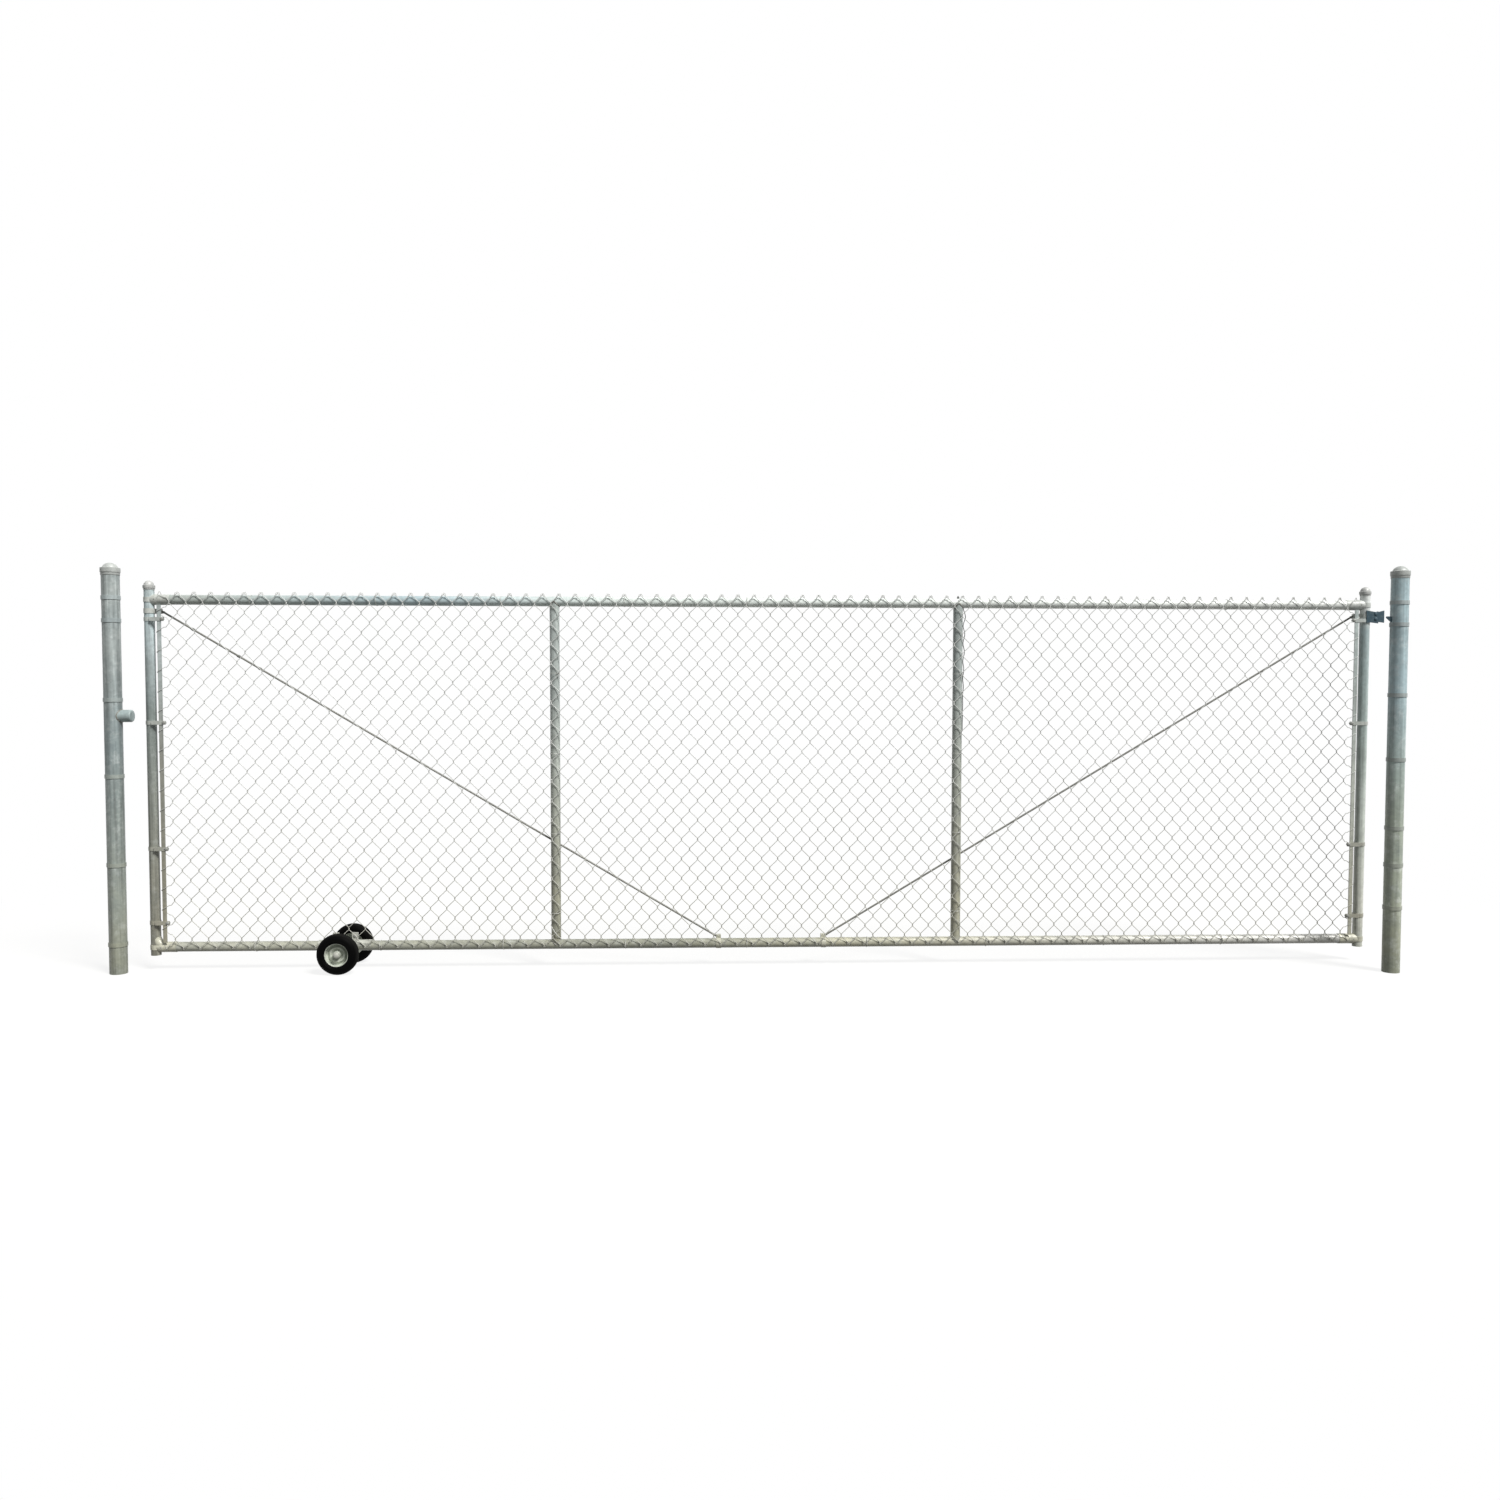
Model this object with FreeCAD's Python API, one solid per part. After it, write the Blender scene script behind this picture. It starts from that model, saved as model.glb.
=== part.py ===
import FreeCAD
import Part
import math
import os

from FreeCAD import Vector

# Sliding chain-link driveway gate, drawn closed. Millimetres, +Z up, ground at Z = 0.
# The origin is the centre of the left post's foot. X runs along the leaf, the street is on the -Y side,
# and the leaf opens towards +X, behind the right post.

# Posts: galvanized pipe, cut off at ground level
POST_OD = 82.5
POST_WALL = 4.0
POST_TOP = 1974.0
POST_BAND_WIDTH = 19.0
POST_BAND_GAUGE = 2.5
POST_BAND_EAR = 26.0
LEFT_BAND_HEIGHTS = (144.0, 535.0, 968.0, 1340.0, 1724.0, 1834.0)
RIGHT_BAND_HEIGHTS = (322.0, 534.0, 717.0, 1055.0, 1372.0, 1717.0, 1824.0)

# Latch stub on the left post and wedge catch on the right post
STUB_OD = 60.3
STUB_REACH = 51.5
STUB_HEIGHT = 1262.0
STUB_EDGE = 8.0
CATCH_REACH = 22.5
CATCH_DROP = 27.0
CATCH_LIP = 7.0
CATCH_THICK = 12.0
CATCH_HEIGHT = 1757.0

# Domed caps: a thin sleeve over the pipe, a thick rim, a sloping ledge, and a dome narrower than the rim
POST_CAP = {"sleeve": 31.0, "rim": 18.0, "wall": 3.6, "ledge": 9.0, "rise": 26.0}
UPRIGHT_CAP = {"sleeve": 18.0, "rim": 10.0, "wall": 4.0, "ledge": 4.4, "rise": 24.0}
CAP_SLEEVE_WALL = 1.5
CAP_EDGE = 3.0
CAP_SLOPE = 3.0
CAP_SHELL = 3.0

# Leaf frame: end pipes, rails and two pipes between the rails
LEAF_SPAN = 6096.0
LEAF_SETBACK = 66.0
CLOSING_GAP = 87.55
UPRIGHT_OD = 48.3
UPRIGHT_WALL = 2.6
UPRIGHT_TAIL = 40.0
UPRIGHT_HEAD = 66.0
RAIL_OD = 48.3
RAIL_WALL = 2.4
BOTTOM_RAIL_HEIGHT = 115.0
RAIL_SPACING = 1716.0
LEFT_BAY = 1975.0
RIGHT_BAY = 2098.0

# Corner fittings: a band round the end pipe and a domed cup that takes the rail
CUP_DEPTH = 60.0
CUP_WALL = 1.5
CUP_DOME = 18.0
CORNER_BAND_WIDTH = 24.0

# Tension bars and the bands that clamp them to the end pipes
BAR_WIDTH = 19.0
BAR_THICK = 5.0
BAR_GAP = 24.0
BAND_WIDTH = 19.0
BAND_GAUGE = 2.2
BAND_EAR = 12.0
BAND_STEP = 12.0
LEFT_TENSION_BANDS = (238.0, 606.0, 1228.0, 1735.0)
RIGHT_TENSION_BANDS = (238.0, 606.0, 1228.0, 1752.0)

# Brace rods behind the leaf, with a lug on a band at each end
ROD_DIA = 9.5
ROD_CLEAR = 3.0
ROD_TOP_DROP = 55.0
ROD_FOOT_RISE = 30.0
LEFT_ROD_FOOT = 2779.0
RIGHT_ROD_FOOT = 2761.0
LUG_WIDTH = 12.0
LUG_REACH = 48.0
ROD_BAND_WIDTH = 24.0
LUG_CLEAR = 9.0
LUG_ROOT = 5.0

# Chain-link fabric, drawn flat as a lattice of square bars
WIRE = 3.2
DIAMOND_WIDTH = 80.9
DIAMOND_HEIGHT = 99.8
FABRIC_RISE = 35.0
FABRIC_DROP = 27.0
FABRIC_CLEAR = 1.2
PANELS = 7

# Wheel carrier: a saddle over the bottom rail, a trough under the rail and the fabric, and two stub axles
WHEEL_PLACE = 929.0
WHEEL_SPREAD = 340.0
SADDLE_LENGTH = 260.0
SADDLE_WALL = 5.0
TROUGH_LENGTH = 90.0
TROUGH_WALL = 6.0
TROUGH_RISE = 24.0
TROUGH_DEPTH = 9.0
TROUGH_CLEAR = 4.0
SADDLE_EAR_LENGTH = 30.0
SADDLE_EAR_RISE = 36.0
SADDLE_EAR_PITCH = 94.0
AXLE_DIA = 19.0
AXLE_SHOULDER_DIA = 34.0
AXLE_COLLAR_DIA = 30.0
AXLE_COLLAR_LENGTH = 6.0

# Wheels: solid rubber tyres on dished steel hubs
WHEEL_DIA = 200.0
TYRE_WIDTH = 70.0
TYRE_SHOULDER = 12.0
RIM_DIA = 116.0
RIM_WIDTH = 56.0
RIM_WALL = 4.0
HUB_DIA = 36.0
HUB_RECESS = 12.0
DISC_THICK = 8.0
DISC_CREST = 7.0

# Right post and the flared bracket on the tail of the leaf
TAIL_OVERLAP = 28.0
PASS_GAP = 43.5
BRACKET_LAP = 6.0
BRACKET_REACH = 85.5
BRACKET_WAIST = 48.0
BRACKET_PLATE = 5.0
BRACKET_TALL = 62.0
BRACKET_PINCH = 9.0
BRACKET_DROP = 59.0

# Clearances
FIT = 0.2
RUNNING = 0.05
END_PLAY = 1.0

# Places worked out from the sizes above
LEAF_Y = LEAF_SETBACK
LEFT_X = POST_OD / 2 + CLOSING_GAP + UPRIGHT_OD / 2
RIGHT_X = LEFT_X + LEAF_SPAN
TOP_RAIL_HEIGHT = BOTTOM_RAIL_HEIGHT + RAIL_SPACING
UPRIGHT_FOOT = BOTTOM_RAIL_HEIGHT - UPRIGHT_TAIL
UPRIGHT_TOP = TOP_RAIL_HEIGHT + UPRIGHT_HEAD
BAND_RADIUS = UPRIGHT_OD / 2 + FIT + BAND_GAUGE
CUP_START = UPRIGHT_OD / 2 + FIT + BAND_GAUGE / 2
RAIL_START = CUP_START + CUP_DOME
BAR_START = UPRIGHT_OD / 2 + BAR_GAP
FABRIC_START = BAR_START + BAR_WIDTH
FABRIC_Y = LEAF_Y - RAIL_OD / 2 - FIT - CUP_WALL - FABRIC_CLEAR - WIRE / 2
FABRIC_FRONT = FABRIC_Y - WIRE / 2
FABRIC_BACK = FABRIC_Y + WIRE / 2
FABRIC_BOTTOM = BOTTOM_RAIL_HEIGHT - FABRIC_DROP
FABRIC_TOP = TOP_RAIL_HEIGHT + FABRIC_RISE
ROD_Y = LEAF_Y + RAIL_OD / 2 + ROD_CLEAR + ROD_DIA / 2
AXLE_X = LEFT_X + WHEEL_PLACE
AXLE_Z = WHEEL_DIA / 2
POST_CAP_RADIUS = POST_OD / 2 + FIT + POST_CAP["wall"]
RIGHT_POST_X = RIGHT_X + TAIL_OVERLAP
RIGHT_POST_Y = LEAF_Y - WHEEL_SPREAD / 2 - PASS_GAP - POST_CAP_RADIUS

X_AXIS = Vector(1, 0, 0)
Y_AXIS = Vector(0, 1, 0)
Z_AXIS = Vector(0, 0, 1)


def rod(diameter, start, axis, length):
    return Part.makeCylinder(diameter / 2, length, start, axis)


def pipe(diameter, wall, start, axis, length):
    return rod(diameter, start, axis, length).cut(rod(diameter - 2 * wall, start, axis, length))


def block(corner, opposite):
    """A box between two corners, given in any order."""
    low = Vector(*[min(a, b) for a, b in zip(corner, opposite)])
    size = [abs(a - b) for a, b in zip(corner, opposite)]
    return Part.makeBox(size[0], size[1], size[2], low)


def polygon_plate(points, start_y, thick):
    """A plate with an outline of (x, z) points, thick in +Y from start_y."""
    corners = [Vector(x, start_y, z) for x, z in points]
    wire = Part.makePolygon(corners + corners[:1])
    return Part.Face(wire).extrude(Vector(0, thick, 0))


def dome_arc(radius, base, rise):
    """An arc in the XZ plane from the dome's rim up to its apex on the Z axis."""
    ball = (radius**2 + rise**2) / (2 * rise)
    centre = base + rise - ball
    half_angle = math.atan2(radius, base - centre) / 2
    middle = Vector(ball * math.sin(half_angle), 0, centre + ball * math.cos(half_angle))
    return Part.Arc(Vector(radius, 0, base), middle, Vector(0, 0, base + rise)).toShape()


def domed_cap(pipe_od, pipe_wall, pipe_top, cap, place):
    """A cast cap: sleeve and rim round the pipe, ledge, and a hollow dome that sits on the pipe's end."""
    bore = pipe_od / 2 + FIT
    sleeve = bore + CAP_SLEEVE_WALL
    outer = bore + cap["wall"]
    ledge = outer - cap["ledge"]
    shoulder = pipe_od / 2 - pipe_wall
    edge = pipe_top + CAP_EDGE
    apex = edge + cap["rise"]
    inner_apex = apex - CAP_SHELL
    skirt_path = Part.makePolygon([
        Vector(shoulder, 0, pipe_top),
        Vector(bore, 0, pipe_top),
        Vector(bore, 0, pipe_top - cap["sleeve"]),
        Vector(sleeve, 0, pipe_top - cap["sleeve"]),
        Vector(sleeve, 0, pipe_top - cap["rim"]),
        Vector(outer, 0, pipe_top - cap["rim"]),
        Vector(outer, 0, edge),
        Vector(ledge, 0, edge + CAP_SLOPE),
    ])
    outer_dome = dome_arc(ledge, edge + CAP_SLOPE, cap["rise"] - CAP_SLOPE)
    crown = Part.makeLine(Vector(0, 0, apex), Vector(0, 0, inner_apex))
    inner_dome = dome_arc(shoulder, pipe_top, inner_apex - pipe_top)
    wire = Part.Wire(Part.__sortEdges__(skirt_path.Edges + [outer_dome, crown, inner_dome]))
    casting = Part.Face(wire).revolve(Vector(0, 0, 0), Z_AXIS, 360)
    casting.translate(place)
    return casting


def post(x, y):
    return pipe(POST_OD, POST_WALL, Vector(x, y, 0), Z_AXIS, POST_TOP)


def post_cap(x, y):
    return domed_cap(POST_OD, POST_WALL, POST_TOP, POST_CAP, Vector(x, y, 0))


def post_bands(x, y, heights):
    """Clamp bands round a post, each with a pair of ears at the back."""
    reach = POST_OD / 2 + POST_BAND_EAR
    bands = []
    for height in heights:
        low = height - POST_BAND_WIDTH / 2
        band = rod(POST_OD + 2 * (FIT + POST_BAND_GAUGE), Vector(x, y, low), Z_AXIS, POST_BAND_WIDTH)
        for side in (-1, 1):
            near = x + side * POST_BAND_GAUGE
            far = x + side * 2 * POST_BAND_GAUGE
            band = band.fuse(block((near, y, low), (far, y + reach, low + POST_BAND_WIDTH)))
        bands.append(band.cut(rod(POST_OD + 2 * FIT, Vector(x, y, low), Z_AXIS, POST_BAND_WIDTH)))
    return Part.makeCompound(bands)


def latch_stub():
    """A round stub with a rounded end, coped onto the left post."""
    stub = rod(STUB_OD, Vector(0, 0, STUB_HEIGHT), X_AXIS, POST_OD / 2 + STUB_REACH)
    rim = [e for e in stub.Edges if e.Length > STUB_OD and e.CenterOfMass.x > STUB_REACH]
    stub = stub.makeFillet(STUB_EDGE, [e for e in rim if isinstance(e.Curve, Part.Circle)])
    low = Vector(0, 0, STUB_HEIGHT - STUB_OD)
    return stub.cut(rod(POST_OD + 2 * FIT, low, Z_AXIS, 2 * STUB_OD))


def right_post_catch():
    """A wedge-shaped lug on the side of the right post that faces the leaf."""
    face = RIGHT_POST_X - POST_OD / 2
    outline = [
        (RIGHT_POST_X, CATCH_HEIGHT),
        (face - CATCH_REACH, CATCH_HEIGHT),
        (face - CATCH_REACH, CATCH_HEIGHT - CATCH_LIP),
        (face, CATCH_HEIGHT - CATCH_DROP),
        (RIGHT_POST_X, CATCH_HEIGHT - CATCH_DROP),
    ]
    lug = polygon_plate(outline, RIGHT_POST_Y - CATCH_THICK / 2, CATCH_THICK)
    low = Vector(RIGHT_POST_X, RIGHT_POST_Y, CATCH_HEIGHT - 2 * CATCH_DROP)
    return lug.cut(rod(POST_OD + 2 * FIT, low, Z_AXIS, 3 * CATCH_DROP))


def upright(x):
    return pipe(UPRIGHT_OD, UPRIGHT_WALL, Vector(x, LEAF_Y, UPRIGHT_FOOT), Z_AXIS, UPRIGHT_TOP - UPRIGHT_FOOT)


def upright_cap(x):
    return domed_cap(UPRIGHT_OD, UPRIGHT_WALL, UPRIGHT_TOP, UPRIGHT_CAP, Vector(x, LEAF_Y, 0))


def rail(height):
    start = Vector(LEFT_X + RAIL_START, LEAF_Y, height)
    return pipe(RAIL_OD, RAIL_WALL, start, X_AXIS, LEAF_SPAN - 2 * RAIL_START)


def mid_upright(x):
    """A pipe between the rails, with both ends coped round them."""
    stick = pipe(RAIL_OD, RAIL_WALL, Vector(x, LEAF_Y, BOTTOM_RAIL_HEIGHT), Z_AXIS, RAIL_SPACING)
    for height in (BOTTOM_RAIL_HEIGHT, TOP_RAIL_HEIGHT):
        stick = stick.cut(rod(RAIL_OD + 2 * FIT, Vector(x - RAIL_OD, LEAF_Y, height), X_AXIS, 2 * RAIL_OD))
    return stick


def corner_fitting(x, side, height):
    """A band round the end pipe with a domed cup on its inner side that the rail's end sits in."""
    low = Vector(x, LEAF_Y, height - CORNER_BAND_WIDTH / 2)
    band = rod(2 * BAND_RADIUS, low, Z_AXIS, CORNER_BAND_WIDTH)
    bore = RAIL_OD / 2 + FIT
    outer = bore + CUP_WALL
    nose = CORNER_BAND_WIDTH / 2
    belly = Vector(CUP_START + CUP_DOME * (1 - math.sqrt(0.5)), 0, nose + (outer - nose) * math.sqrt(0.5))
    dome = Part.Arc(Vector(CUP_START, 0, nose), belly, Vector(RAIL_START, 0, outer)).toShape()
    walls = Part.makePolygon([
        Vector(RAIL_START, 0, outer),
        Vector(RAIL_START + CUP_DEPTH, 0, outer),
        Vector(RAIL_START + CUP_DEPTH, 0, bore),
        Vector(RAIL_START, 0, bore),
        Vector(RAIL_START, 0, 0),
        Vector(CUP_START, 0, 0),
        Vector(CUP_START, 0, nose),
    ])
    wire = Part.Wire(Part.__sortEdges__([dome] + walls.Edges))
    cup = Part.Face(wire).revolve(Vector(0, 0, 0), X_AXIS, 360)
    if side < 0:
        cup.rotate(Vector(0, 0, 0), Z_AXIS, 180)
    cup.translate(Vector(x, LEAF_Y, height))
    through = Vector(x, LEAF_Y, height - RAIL_OD)
    return band.fuse(cup).cut(rod(UPRIGHT_OD + 2 * FIT, through, Z_AXIS, 2 * RAIL_OD)).removeSplitter()


def tension_bar(x, side):
    """A flat bar from the bottom corner fitting to the top one, through the end loops of the fabric."""
    gap = RAIL_OD / 2 + CUP_WALL + 2 * FIT
    low = (x + side * BAR_START, FABRIC_Y - BAR_THICK / 2, BOTTOM_RAIL_HEIGHT + gap)
    high = (x + side * FABRIC_START, FABRIC_Y + BAR_THICK / 2, TOP_RAIL_HEIGHT - gap)
    return block(low, high)


def tension_bands(x, side, heights):
    """Bands round an end pipe. The ears hold the tension bar between them and pass it, to take a bolt."""
    step = x + side * BAND_STEP
    reach = x + side * (FABRIC_START + BAND_EAR)
    front = FABRIC_Y - BAR_THICK / 2 - FIT
    back = FABRIC_Y + BAR_THICK / 2 + FIT
    bands = []
    for height in heights:
        low = height - BAND_WIDTH / 2
        high = height + BAND_WIDTH / 2
        band = rod(2 * BAND_RADIUS, Vector(x, LEAF_Y, low), Z_AXIS, BAND_WIDTH)
        band = band.fuse(block((step, front - BAND_GAUGE, low), (step + side * BAND_GAUGE, LEAF_Y, high)))
        band = band.fuse(block((step, front - BAND_GAUGE, low), (reach, front, high)))
        band = band.fuse(block((x, back, low), (reach, back + BAND_GAUGE, high)))
        bands.append(band.cut(rod(UPRIGHT_OD + 2 * FIT, Vector(x, LEAF_Y, low), Z_AXIS, BAND_WIDTH)))
    return Part.makeCompound(bands)


def rod_ends(x, side, foot):
    """The upper and lower (x, z) ends of a brace rod, on the faces of the two lugs that hold it."""
    top = (x + side * LUG_REACH, TOP_RAIL_HEIGHT - ROD_TOP_DROP)
    bottom = (x + side * foot, BOTTOM_RAIL_HEIGHT + ROD_FOOT_RISE)
    return top, bottom


def brace_rod(x, side, foot):
    """A round rod between the two lugs, with upright ends that meet the lugs' faces."""
    (top_x, top_z), (bottom_x, bottom_z) = rod_ends(x, side, foot)
    top = Vector(top_x, ROD_Y, top_z)
    run = Vector(bottom_x, ROD_Y, bottom_z) - top
    unit = Vector(run).normalize()
    stick = rod(ROD_DIA, top - unit * LUG_REACH, unit, run.Length + 2 * LUG_REACH)
    half = ROD_DIA
    between = block((top_x, ROD_Y - half, 0), (bottom_x, ROD_Y + half, UPRIGHT_TOP))
    return stick.common(between)


def upper_rod_band(x, side):
    """A band round an end pipe with a lug at the back for a brace rod."""
    height = TOP_RAIL_HEIGHT - ROD_TOP_DROP
    low = height - ROD_BAND_WIDTH / 2
    band = rod(2 * BAND_RADIUS, Vector(x, LEAF_Y, low), Z_AXIS, ROD_BAND_WIDTH)
    lug_low = (x, ROD_Y - LUG_WIDTH / 2 - LUG_ROOT, low)
    lug_high = (x + side * LUG_REACH, ROD_Y + LUG_WIDTH / 2, low + ROD_BAND_WIDTH)
    band = band.fuse(block(lug_low, lug_high))
    return band.cut(rod(UPRIGHT_OD + 2 * FIT, Vector(x, LEAF_Y, low), Z_AXIS, ROD_BAND_WIDTH))


def lower_rod_band(x, side, foot):
    """A band round the bottom rail with a lug at the back for a brace rod."""
    face = x + side * foot
    start = min(face, face + side * ROD_BAND_WIDTH)
    centre = Vector(start, LEAF_Y, BOTTOM_RAIL_HEIGHT)
    band = rod(RAIL_OD + 2 * (FIT + BAND_GAUGE), centre, X_AXIS, ROD_BAND_WIDTH)
    lug_low = (start, LEAF_Y, BOTTOM_RAIL_HEIGHT)
    lug_high = (
        start + ROD_BAND_WIDTH,
        ROD_Y + LUG_WIDTH / 2,
        BOTTOM_RAIL_HEIGHT + ROD_FOOT_RISE + LUG_CLEAR,
    )
    band = band.fuse(block(lug_low, lug_high))
    return band.cut(rod(RAIL_OD + 2 * FIT, centre, X_AXIS, ROD_BAND_WIDTH))


def mesh_panel(first, last, pitch, rows, rise):
    """A strip of the fabric between two columns: a plate with diamond holes and notched edges."""
    half_width = pitch / 2
    half_height = rise / 2
    shrink = 1 - WIRE / 2 * math.hypot(half_width, half_height) / (half_width * half_height)
    open_width = shrink * half_width
    open_height = shrink * half_height
    columns = last - first
    start = LEFT_X + FABRIC_START + first * pitch
    end = start + columns * pitch

    def loop(points):
        corners = [Vector(x, FABRIC_BACK, z) for x, z in points]
        return Part.makePolygon(corners + corners[:1])

    outline = [(start, FABRIC_BOTTOM)]
    for i in range(columns):
        middle = start + (i + 0.5) * pitch
        outline += [(middle - open_width, FABRIC_BOTTOM), (middle, FABRIC_BOTTOM + open_height)]
        outline += [(middle + open_width, FABRIC_BOTTOM)]
    outline += [(end, FABRIC_BOTTOM)]
    for j in range(rows):
        level = FABRIC_BOTTOM + (j + 0.5) * rise
        outline += [(end, level - open_height), (end - open_width, level), (end, level + open_height)]
    outline += [(end, FABRIC_TOP)]
    for i in reversed(range(columns)):
        middle = start + (i + 0.5) * pitch
        outline += [(middle + open_width, FABRIC_TOP), (middle, FABRIC_TOP - open_height)]
        outline += [(middle - open_width, FABRIC_TOP)]
    outline += [(start, FABRIC_TOP)]
    for j in reversed(range(rows)):
        level = FABRIC_BOTTOM + (j + 0.5) * rise
        outline += [(start, level + open_height), (start + open_width, level), (start, level - open_height)]

    between = [start + (i + 0.5) * pitch for i in range(columns)]
    centres = [(x, FABRIC_BOTTOM + j * rise) for x in between for j in range(1, rows)]
    inside = [start + i * pitch for i in range(1, columns)]
    centres += [(x, FABRIC_BOTTOM + (j + 0.5) * rise) for x in inside for j in range(rows)]
    holes = []
    for x, z in centres:
        sides = [(x - open_width, z), (x, z + open_height), (x + open_width, z), (x, z - open_height)]
        holes.append(loop(sides))
    return Part.Face([loop(outline)] + holes).extrude(Vector(0, -WIRE, 0))


def mesh_panels():
    """The whole fabric between the tension bars, as strips that meet at their crossings."""
    width = LEAF_SPAN - 2 * FABRIC_START
    columns = round(width / DIAMOND_WIDTH)
    rows = round((FABRIC_TOP - FABRIC_BOTTOM) / DIAMOND_HEIGHT)
    pitch = width / columns
    rise = (FABRIC_TOP - FABRIC_BOTTOM) / rows
    cuts = [round(columns * n / PANELS) for n in range(PANELS + 1)]
    return [mesh_panel(cuts[n], cuts[n + 1], pitch, rows, rise) for n in range(PANELS)]


def trough_faces():
    """Distances from the leaf's middle plane to the outer faces of the trough, by side."""
    front = LEAF_Y - FABRIC_FRONT + TROUGH_CLEAR + TROUGH_WALL
    back = RAIL_OD / 2 + FIT + TROUGH_WALL
    return {-1: front, 1: back}


def wheel_saddle():
    """A saddle over the rail with ears on top, and a trough that passes under the rail and the fabric."""
    bore = RAIL_OD + 2 * FIT
    start = AXLE_X - SADDLE_LENGTH / 2
    end = start + SADDLE_LENGTH
    rail_start = Vector(start, LEAF_Y, BOTTOM_RAIL_HEIGHT)
    saddle = rod(bore + 2 * SADDLE_WALL, rail_start, X_AXIS, SADDLE_LENGTH)
    underside = BOTTOM_RAIL_HEIGHT - bore
    lip = FABRIC_BACK + TROUGH_CLEAR / 2
    saddle = saddle.cut(block((start, LEAF_Y - bore, underside), (end, LEAF_Y + bore, BOTTOM_RAIL_HEIGHT)))
    saddle = saddle.cut(block((start, LEAF_Y - bore, underside), (end, lip, BOTTOM_RAIL_HEIGHT + bore)))
    crown = BOTTOM_RAIL_HEIGHT + bore / 2 + SADDLE_WALL
    for offset in (-SADDLE_EAR_PITCH / 2, SADDLE_EAR_PITCH / 2):
        low = (AXLE_X + offset - SADDLE_EAR_LENGTH / 2, LEAF_Y - SADDLE_WALL, BOTTOM_RAIL_HEIGHT)
        high = (AXLE_X + offset + SADDLE_EAR_LENGTH / 2, LEAF_Y + SADDLE_WALL, crown + SADDLE_EAR_RISE)
        saddle = saddle.fuse(block(low, high))
    left = AXLE_X - TROUGH_LENGTH / 2
    right = AXLE_X + TROUGH_LENGTH / 2
    web_top = FABRIC_BOTTOM - TROUGH_DEPTH
    web_low = web_top - TROUGH_WALL
    faces = trough_faces()
    saddle = saddle.fuse(block((left, LEAF_Y - faces[-1], web_low), (right, LEAF_Y + faces[1], web_top)))
    for side, face in faces.items():
        outer = LEAF_Y + side * face
        inner = outer - side * TROUGH_WALL
        saddle = saddle.fuse(block((left, outer, web_low), (right, inner, AXLE_Z + TROUGH_RISE)))
    return saddle.cut(rod(bore, rail_start, X_AXIS, SADDLE_LENGTH)).removeSplitter()


def hub_span():
    """Distances from the leaf's middle plane to the inner and outer ends of a hub."""
    outer_face = WHEEL_SPREAD / 2
    return outer_face - TYRE_WIDTH, outer_face - HUB_RECESS


def stub_axle(side, root):
    """One stub axle: shoulder, journal through the hub, and end collar, from the trough's face outwards."""
    inner, outer = hub_span()
    axis = Y_AXIS * side
    foot = Vector(AXLE_X, LEAF_Y, AXLE_Z) + axis * root
    stub = rod(AXLE_SHOULDER_DIA, foot, axis, inner - END_PLAY - root)
    stub = stub.fuse(rod(AXLE_DIA, foot, axis, outer + END_PLAY + AXLE_COLLAR_LENGTH - root))
    collar = foot + axis * (outer + END_PLAY - root)
    return stub.fuse(rod(AXLE_COLLAR_DIA, collar, axis, AXLE_COLLAR_LENGTH)).removeSplitter()


def wheel_axle():
    """The two stub axles, one on each face of the trough."""
    return Part.makeCompound([stub_axle(side, face) for side, face in trough_faces().items()])


def turned(profile, side):
    """Revolve a profile of (distance from the leaf's middle plane, radius) edges about the axle."""
    wire = Part.Wire(Part.__sortEdges__(profile))
    body = Part.Face(wire).revolve(Vector(0, 0, 0), Y_AXIS, 360)
    if side < 0:
        body.rotate(Vector(0, 0, 0), Z_AXIS, 180)
    body.translate(Vector(AXLE_X, LEAF_Y, AXLE_Z))
    return body


def tyre(side):
    """A solid rubber tyre with rounded shoulders, seated on the rim."""
    outer_face = WHEEL_SPREAD / 2
    inner_face = outer_face - TYRE_WIDTH
    seat = RIM_DIA / 2 + FIT
    radius = WHEEL_DIA / 2
    turn = TYRE_SHOULDER * (1 - math.sqrt(0.5))
    corners = {
        "seat_in": Vector(0, inner_face, seat),
        "wall_in": Vector(0, inner_face, radius - TYRE_SHOULDER),
        "tread_in": Vector(0, inner_face + TYRE_SHOULDER, radius),
        "tread_out": Vector(0, outer_face - TYRE_SHOULDER, radius),
        "wall_out": Vector(0, outer_face, radius - TYRE_SHOULDER),
        "seat_out": Vector(0, outer_face, seat),
    }
    bend_in = Vector(0, inner_face + turn, radius - turn)
    bend_out = Vector(0, outer_face - turn, radius - turn)
    profile = [
        Part.makeLine(corners["seat_in"], corners["wall_in"]),
        Part.Arc(corners["wall_in"], bend_in, corners["tread_in"]).toShape(),
        Part.makeLine(corners["tread_in"], corners["tread_out"]),
        Part.Arc(corners["tread_out"], bend_out, corners["wall_out"]).toShape(),
        Part.makeLine(corners["wall_out"], corners["seat_out"]),
        Part.makeLine(corners["seat_out"], corners["seat_in"]),
    ]
    return turned(profile, side)


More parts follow.
